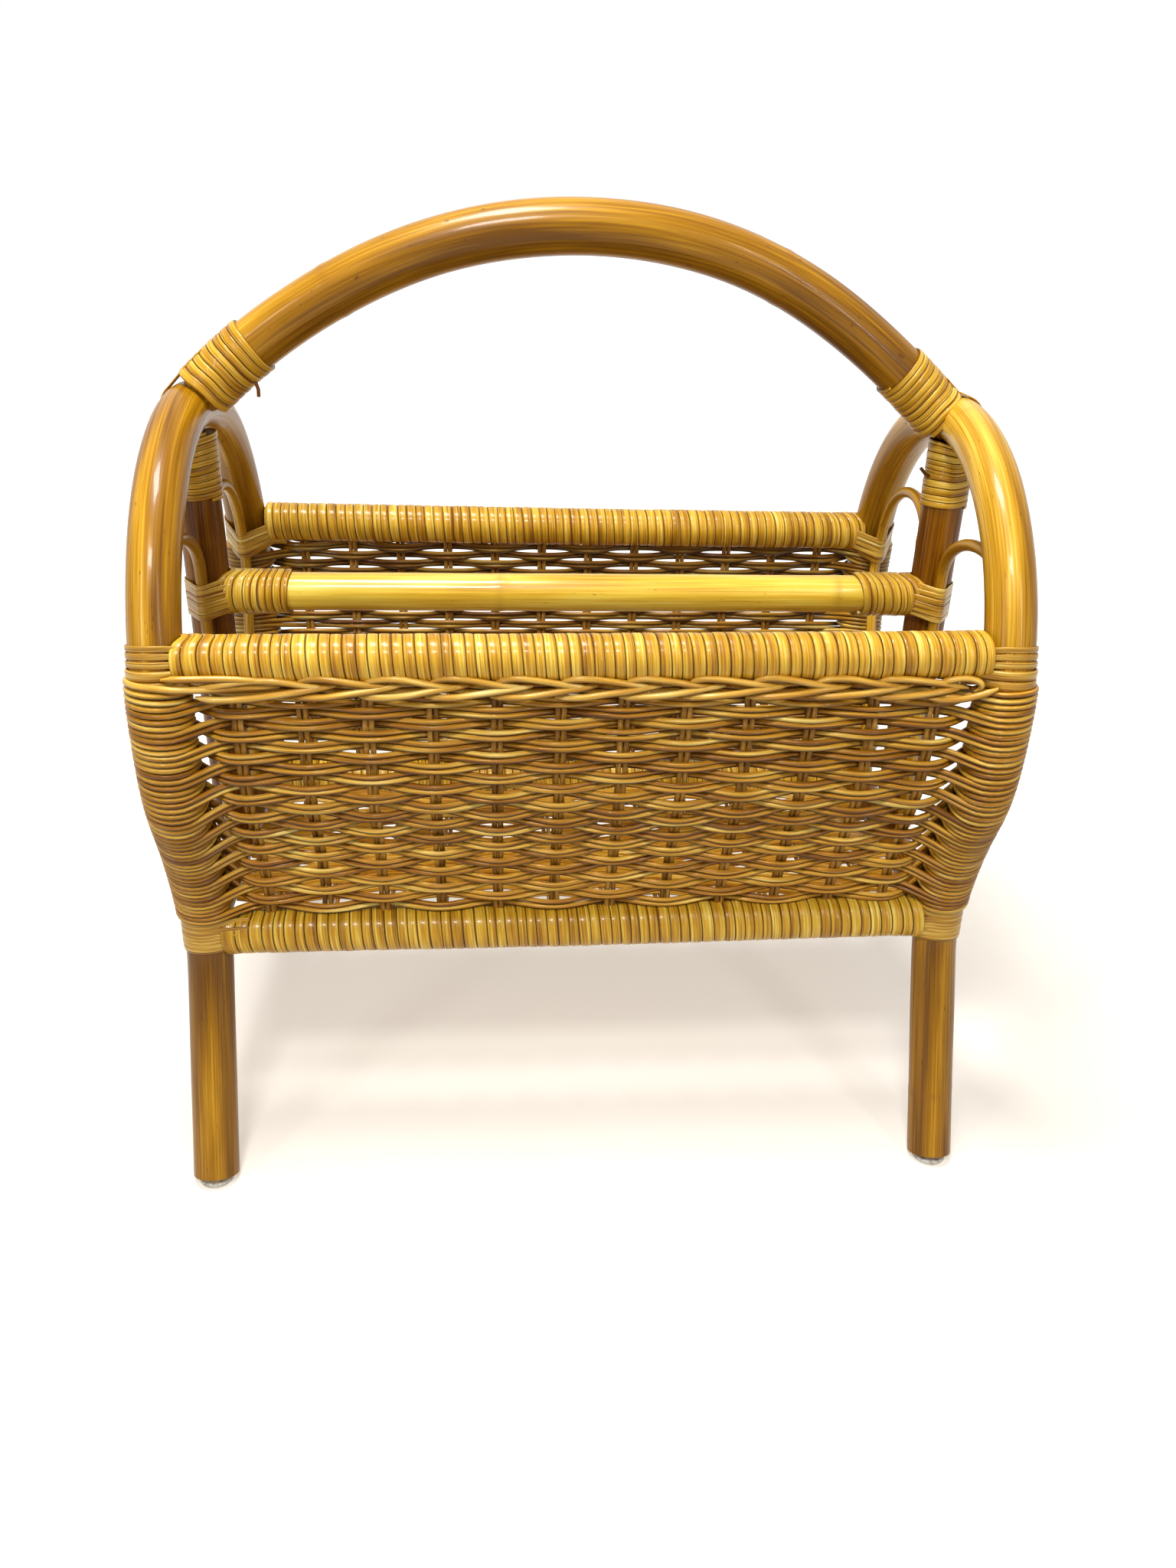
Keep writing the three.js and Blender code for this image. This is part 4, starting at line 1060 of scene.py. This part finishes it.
top_strands = [(4.7, 3.0, 0), (1.5, 3.1, 0), (-1.9, 3.4, 0.2), (-6.4, 5.1, 0), (-11.4, 4.6, -0.2)]
low_strands = [(8.6, 4.2, 0), (4.2, 4.4, 0), (-0.4, 4.6, 0), (-5.0, 4.4, 0), (-9.0, 3.4, 0)]
top_sling = sling("left_front_top_sling", top_strands, leg_circles, TOP_RAIL_R,
                  at_left_front(RAIL_TOP))
low_sling = sling("left_front_low_sling", low_strands, leg_circles[:1], LOW_RAIL_R,
                  at_left_front(RAIL_LOW - 1), last=-42.0, both=False)
for piece, kind in ((top_sling, "top"), (low_sling, "bottom")):
    for corner, matrix in OTHER_CORNERS:
        twin = copied(piece, f"{corner}_{kind}_sling", matrix)
        finish(twin, "cane", cane_skin, f"{corner}_{kind}_band")
    finish(piece, "cane", cane_skin, f"left_front_{kind}_band")

# %% Slings at the posts
post_circles = [(0.0, 0.0, POST_R), (0.0, post_rod, ROD_R), (0.0, -post_rod, ROD_R)]


def at_left_post(across, out, lift):
    """A sling's own places as places at the left post."""
    return np.c_[-SPAN - across, -out, RAIL_CENTER + lift]


center_strands = [(10.2, 3.3, 3.5), (6.9, 3.4, 3.5), (3.4, 3.6, 3.5), (-0.2, 3.6, 3.5),
                  (-3.7, 3.4, 3.4), (-7.0, 3.2, 3.2)]
center_sling = sling("left_center_sling", center_strands, post_circles, CENTER_R, at_left_post,
                     arm=22.0)
finish(copied(center_sling, "right_center_sling", HALF_TURN), "cane", cane_skin, "right_center_band")
finish(center_sling, "cane", cane_skin, "left_center_band")

# %% [markdown]
# ## The floor of the basket
# The floor is the same weave laid flat between the bottom rails, with three reeds to a row. A
# copy of a side would have too many rows, and a reed's way is simple here, one even wave over and
# under the stakes, so the rows are worked out afresh from a cosine.

# %% Floor weave
FLOOR_ROWS = np.linspace(-64.18, 64.18, 17)
FLOOR_REED_R = 1.3
FLOOR_REED_APART = 2.62
flat_reeds = []
x = np.linspace(-194, 194, 100)
for r, y in enumerate(FLOOR_ROWS):
    swing = -wave * (-1) ** r * np.cos(np.pi * (x - stake_x[0]) / stake_pitch)
    for reed in (-1, 0, 1):
        across = np.full(len(x), y + reed * FLOOR_REED_APART)
        flat_reeds.append(np.c_[x, across, RAIL_LOW + swing * 0.55])
floor_weave = laid("floor_weavers", flat_reeds, radius=FLOOR_REED_R, sides=6)
finish(floor_weave, "reed", reed_core, "bottom_panel")
half = leg_half(RAIL_LOW) - LOW_RAIL_R - 2 * TOUCH
cross = [evenly([[x, -half, RAIL_LOW], [x, half, RAIL_LOW]], 6.0)
         for x in np.add.outer(stake_x, [-STAKE_APART, STAKE_APART]).ravel()]
finish(laid("floor_stakes", cross, radius=FLOOR_REED_R, sides=6), "reed", stake_reed)

# %% [markdown]
# ## Glides
# A pale nylon disc is nailed under each foot. It could be spun from a profile, but it is a plain
# cylinder whose rim is rounded by wear, so a bevel on a cylinder does the same with less.

# %% Worn nylon
SCUFF = 2.381  # the scuffs are about half of this wide, in millimetres


def worn_nylon():
    """Nylon, moulded smooth and then scratched by floors: off-white, dull, with grey scuffs."""
    material, tree = blank("worn_nylon_glide")
    spot = put(tree, "ShaderNodeTexCoord").outputs["Object"]
    scuff = put(tree, "ShaderNodeTexNoise", {
        "Vector": spot, "Scale": 1 / (SCUFF * MM), "Detail": 4.0})
    colour = put(tree, "ShaderNodeValToRGB", {"Fac": scuff.outputs["Fac"]}, stops=[
        (0.3, "#8f897c"), (0.48, "#cfcabd"), (0.7, "#e6e2d8")]).outputs[0]
    relief = put(tree, "ShaderNodeBump", {
        "Height": scuff.outputs["Fac"], "Strength": 0.4, "Distance": 0.1 * MM})
    surface = put(tree, "ShaderNodeBsdfPrincipled", {
        "Base Color": colour, "Roughness": 0.55, "IOR": 1.53, "Normal": relief.outputs[0]})
    put(tree, "ShaderNodeOutputMaterial", {"Surface": surface.outputs[0]})
    return material


nylon = worn_nylon()

# %% Glides
GLIDE_R = 9.5
GLIDE_OUT = 140.8  # from the middle of the basket, out to the middle of a glide
bpy.ops.object.select_all(action="DESELECT")
bpy.ops.mesh.primitive_cylinder_add(
    vertices=48, radius=GLIDE_R * MM, depth=GLIDE_THICK * MM,
    location=(-SPAN * MM, -GLIDE_OUT * MM, GLIDE_THICK / 2 * MM))
glide = bpy.context.object
glide.name = glide.data.name = "left_front_glide_disc"
bpy.ops.object.transform_apply(location=True, rotation=True, scale=True)
bpy.ops.object.modifier_add(type="BEVEL")
glide.modifiers[0].width = 0.8 * MM
glide.modifiers[0].segments = 3
bpy.ops.object.modifier_apply(modifier=glide.modifiers[0].name)
bpy.ops.object.shade_smooth_by_angle(angle=0.7)
for corner, matrix in OTHER_CORNERS:
    finish(copied(glide, f"{corner}_glide_disc", matrix), "nylon", nylon, f"{corner}_glide")
finish(glide, "nylon", nylon, "left_front_glide")
print("4 glides,", len(glide.data.polygons), "faces each")

# %% [markdown]
# ## The floor of the room
# The photograph is all white round the basket, except for a soft warm shadow under it. A plain
# white floor would need so much light that the basket is washed out. So the floor is a sheet of
# light grey paper, which takes the shadow, and it gives off a light of its own besides, which
# grows with the distance from the basket. Only the camera and shiny surfaces see that light, so it
# doesn't fall on the basket.

# %% White paper
FLOOR_SIZE = 24.0  # metres
CLEAN_FROM, CLEAN_TO = 0.3, 1.2  # metres from the middle, between which the grey turns to white
bpy.ops.object.select_all(action="DESELECT")
bpy.ops.mesh.primitive_plane_add(size=1.0)
ground = bpy.context.object
ground.name = ground.data.name = "white_floor"
bpy.ops.object.mode_set(mode="EDIT")
bpy.ops.transform.resize(value=(FLOOR_SIZE, FLOOR_SIZE, 1.0))
bpy.ops.mesh.subdivide(number_cuts=2)
bpy.ops.object.mode_set(mode="OBJECT")


def seen_directly(tree):
    """1 for rays from the camera, from a shiny surface or through a clear one, and 0 for others."""
    ray = put(tree, "ShaderNodeLightPath")
    seen = put(tree, "ShaderNodeMath", {
        0: ray.outputs["Is Camera Ray"], 1: ray.outputs["Is Glossy Ray"]}, operation="MAXIMUM")
    seen = put(tree, "ShaderNodeMath", {
        0: seen.outputs[0], 1: ray.outputs["Is Transmission Ray"]}, operation="MAXIMUM")
    return seen.outputs[0]


# Uncoated paper, rolled smooth: matt, with clouds of about 170 mm that hardly show.
sheet, tree = blank("white_floor_sheet")
spot = put(tree, "ShaderNodeTexCoord").outputs["Object"]
mottle = put(tree, "ShaderNodeTexNoise", {"Vector": spot, "Scale": 6.0, "Detail": 2.0})
tone = put(tree, "ShaderNodeValToRGB", {"Fac": mottle.outputs["Fac"]}, stops=[
    (0.3, "#c6c1b8"), (0.7, "#cac6be")]).outputs[0]
paper = put(tree, "ShaderNodeBsdfPrincipled", {"Base Color": tone, "Roughness": 0.6})
away = put(tree, "ShaderNodeVectorMath", {0: spot}, operation="LENGTH")
level = put(tree, "ShaderNodeMapRange", {
    "Value": away.outputs["Value"], "From Min": CLEAN_FROM, "From Max": CLEAN_TO,
    "To Min": 0.56, "To Max": 1.0})
# Near the basket the glow is warmer: painted light, for the warm light that the rattan throws back onto
# the floor.
warmth = put(tree, "ShaderNodeValToRGB", {"Fac": level.outputs[0]}, stops=[
    (0.56, "#fff4e6"), (0.95, "#ffffff")]).outputs[0]
level = put(tree, "ShaderNodeMath", {
    0: level.outputs[0], 1: seen_directly(tree)}, operation="MULTIPLY")
glow = put(tree, "ShaderNodeEmission", {"Color": warmth, "Strength": level.outputs[0]})
both = put(tree, "ShaderNodeAddShader", {0: paper.outputs[0], 1: glow.outputs[0]})
put(tree, "ShaderNodeOutputMaterial", {"Surface": both.outputs[0]})
ground.data.materials.append(sheet)
print("floor,", FLOOR_SIZE, "m wide")

# %% [markdown]
# ## The lamps and the room
# A studio could be lit by its white walls alone, but then nothing has a dark side. So the room is
# white only where it is seen or mirrored, and four soft lamps do the lighting. A big one above, a
# little to the left and in front, is the main light. A second one in front and above fills the
# weave. Two narrow upright ones at the sides draw the long highlights on the poles.

# %% White room
WALL_LIGHT = 0.06  # strength of the walls' light on the basket
world = bpy.data.worlds.new("white_room")
bpy.context.scene.world = world
world.use_nodes = True
tree = world.node_tree
tree.nodes.clear()
level = put(tree, "ShaderNodeMapRange", {
    "Value": seen_directly(tree), "To Min": WALL_LIGHT, "To Max": 1.0})
sky = put(tree, "ShaderNodeBackground", {"Color": (1, 1, 1, 1), "Strength": level.outputs[0]})
put(tree, "ShaderNodeOutputWorld", {"Surface": sky.outputs[0]})

# %% Lamps
LIT = (0, 0, 250)  # every lamp is turned to the middle of the basket


def panel(name, place, aim, size, power):
    """A soft lamp at a place, turned to a point, both in millimetres."""
    lamp = bpy.data.lights.new(name, "AREA")
    lamp.shape = "RECTANGLE"
    lamp.size, lamp.size_y = size[0] * MM, size[1] * MM
    lamp.energy = power
    holder = bpy.data.objects.new(name, lamp)
    bpy.context.collection.objects.link(holder)
    back = unit(np.array(place, float) - np.array(aim, float))
    right = unit(np.cross(UP, back))
    top = np.cross(back, right)
    holder.matrix_world = Matrix([
        [right[i], top[i], back[i], place[i] * MM] for i in range(3)] + [[0, 0, 0, 1]])
    print(name, power, "W")


panel("key_lamp", (-200, -150, 1600), LIT, (420, 300), 20.5)
panel("front_lamp", (-200, -1000, 1450), LIT, (300, 200), 12.0)
panel("left_strip_lamp", (-1000, -1000, 800), LIT, (30, 900), 4.2)
panel("right_strip_lamp", (700, -1200, 900), LIT, (30, 900), 4.2)

# %% [markdown]
# ## The camera
# The photograph was taken from a little above and left of the middle. A camera could be set by
# eye, but its place, its three angles and its focal length were worked out from the basket's own
# corners in the photograph, so they are given as numbers.

# %% Camera at the photograph's place
FOCAL_PIXELS = 1585.63  # in a picture that is 2048 pixels high
PHOTO_HIGH = 2048
SENSOR = 36.0
yaw, pitch, roll = np.radians([4.945, 26.764, 1.807])
ahead = np.array([np.sin(yaw), np.cos(yaw), 0.0])
right = np.array([np.cos(yaw), -np.sin(yaw), 0.0])
aim = ahead * np.cos(pitch) - UP * np.sin(pitch)
top = UP * np.cos(pitch) + ahead * np.sin(pitch)
right, top = (right * np.cos(roll) + top * np.sin(roll), -right * np.sin(roll) + top * np.cos(roll))
lens = bpy.data.cameras.new("photo_camera")
lens.sensor_width = SENSOR
lens.lens = FOCAL_PIXELS / PHOTO_HIGH * SENSOR
camera = bpy.data.objects.new("photo_camera", lens)
bpy.context.collection.objects.link(camera)
stand = np.array([-47.99, -664.52, 511.10])
camera.matrix_world = Matrix([
    [right[i], top[i], -aim[i], stand[i] * MM] for i in range(3)] + [[0, 0, 0, 1]])
bpy.context.scene.camera = camera
bpy.context.scene.view_settings.view_transform = "Standard"
print("lens,", round(lens.lens, 1), "mm")
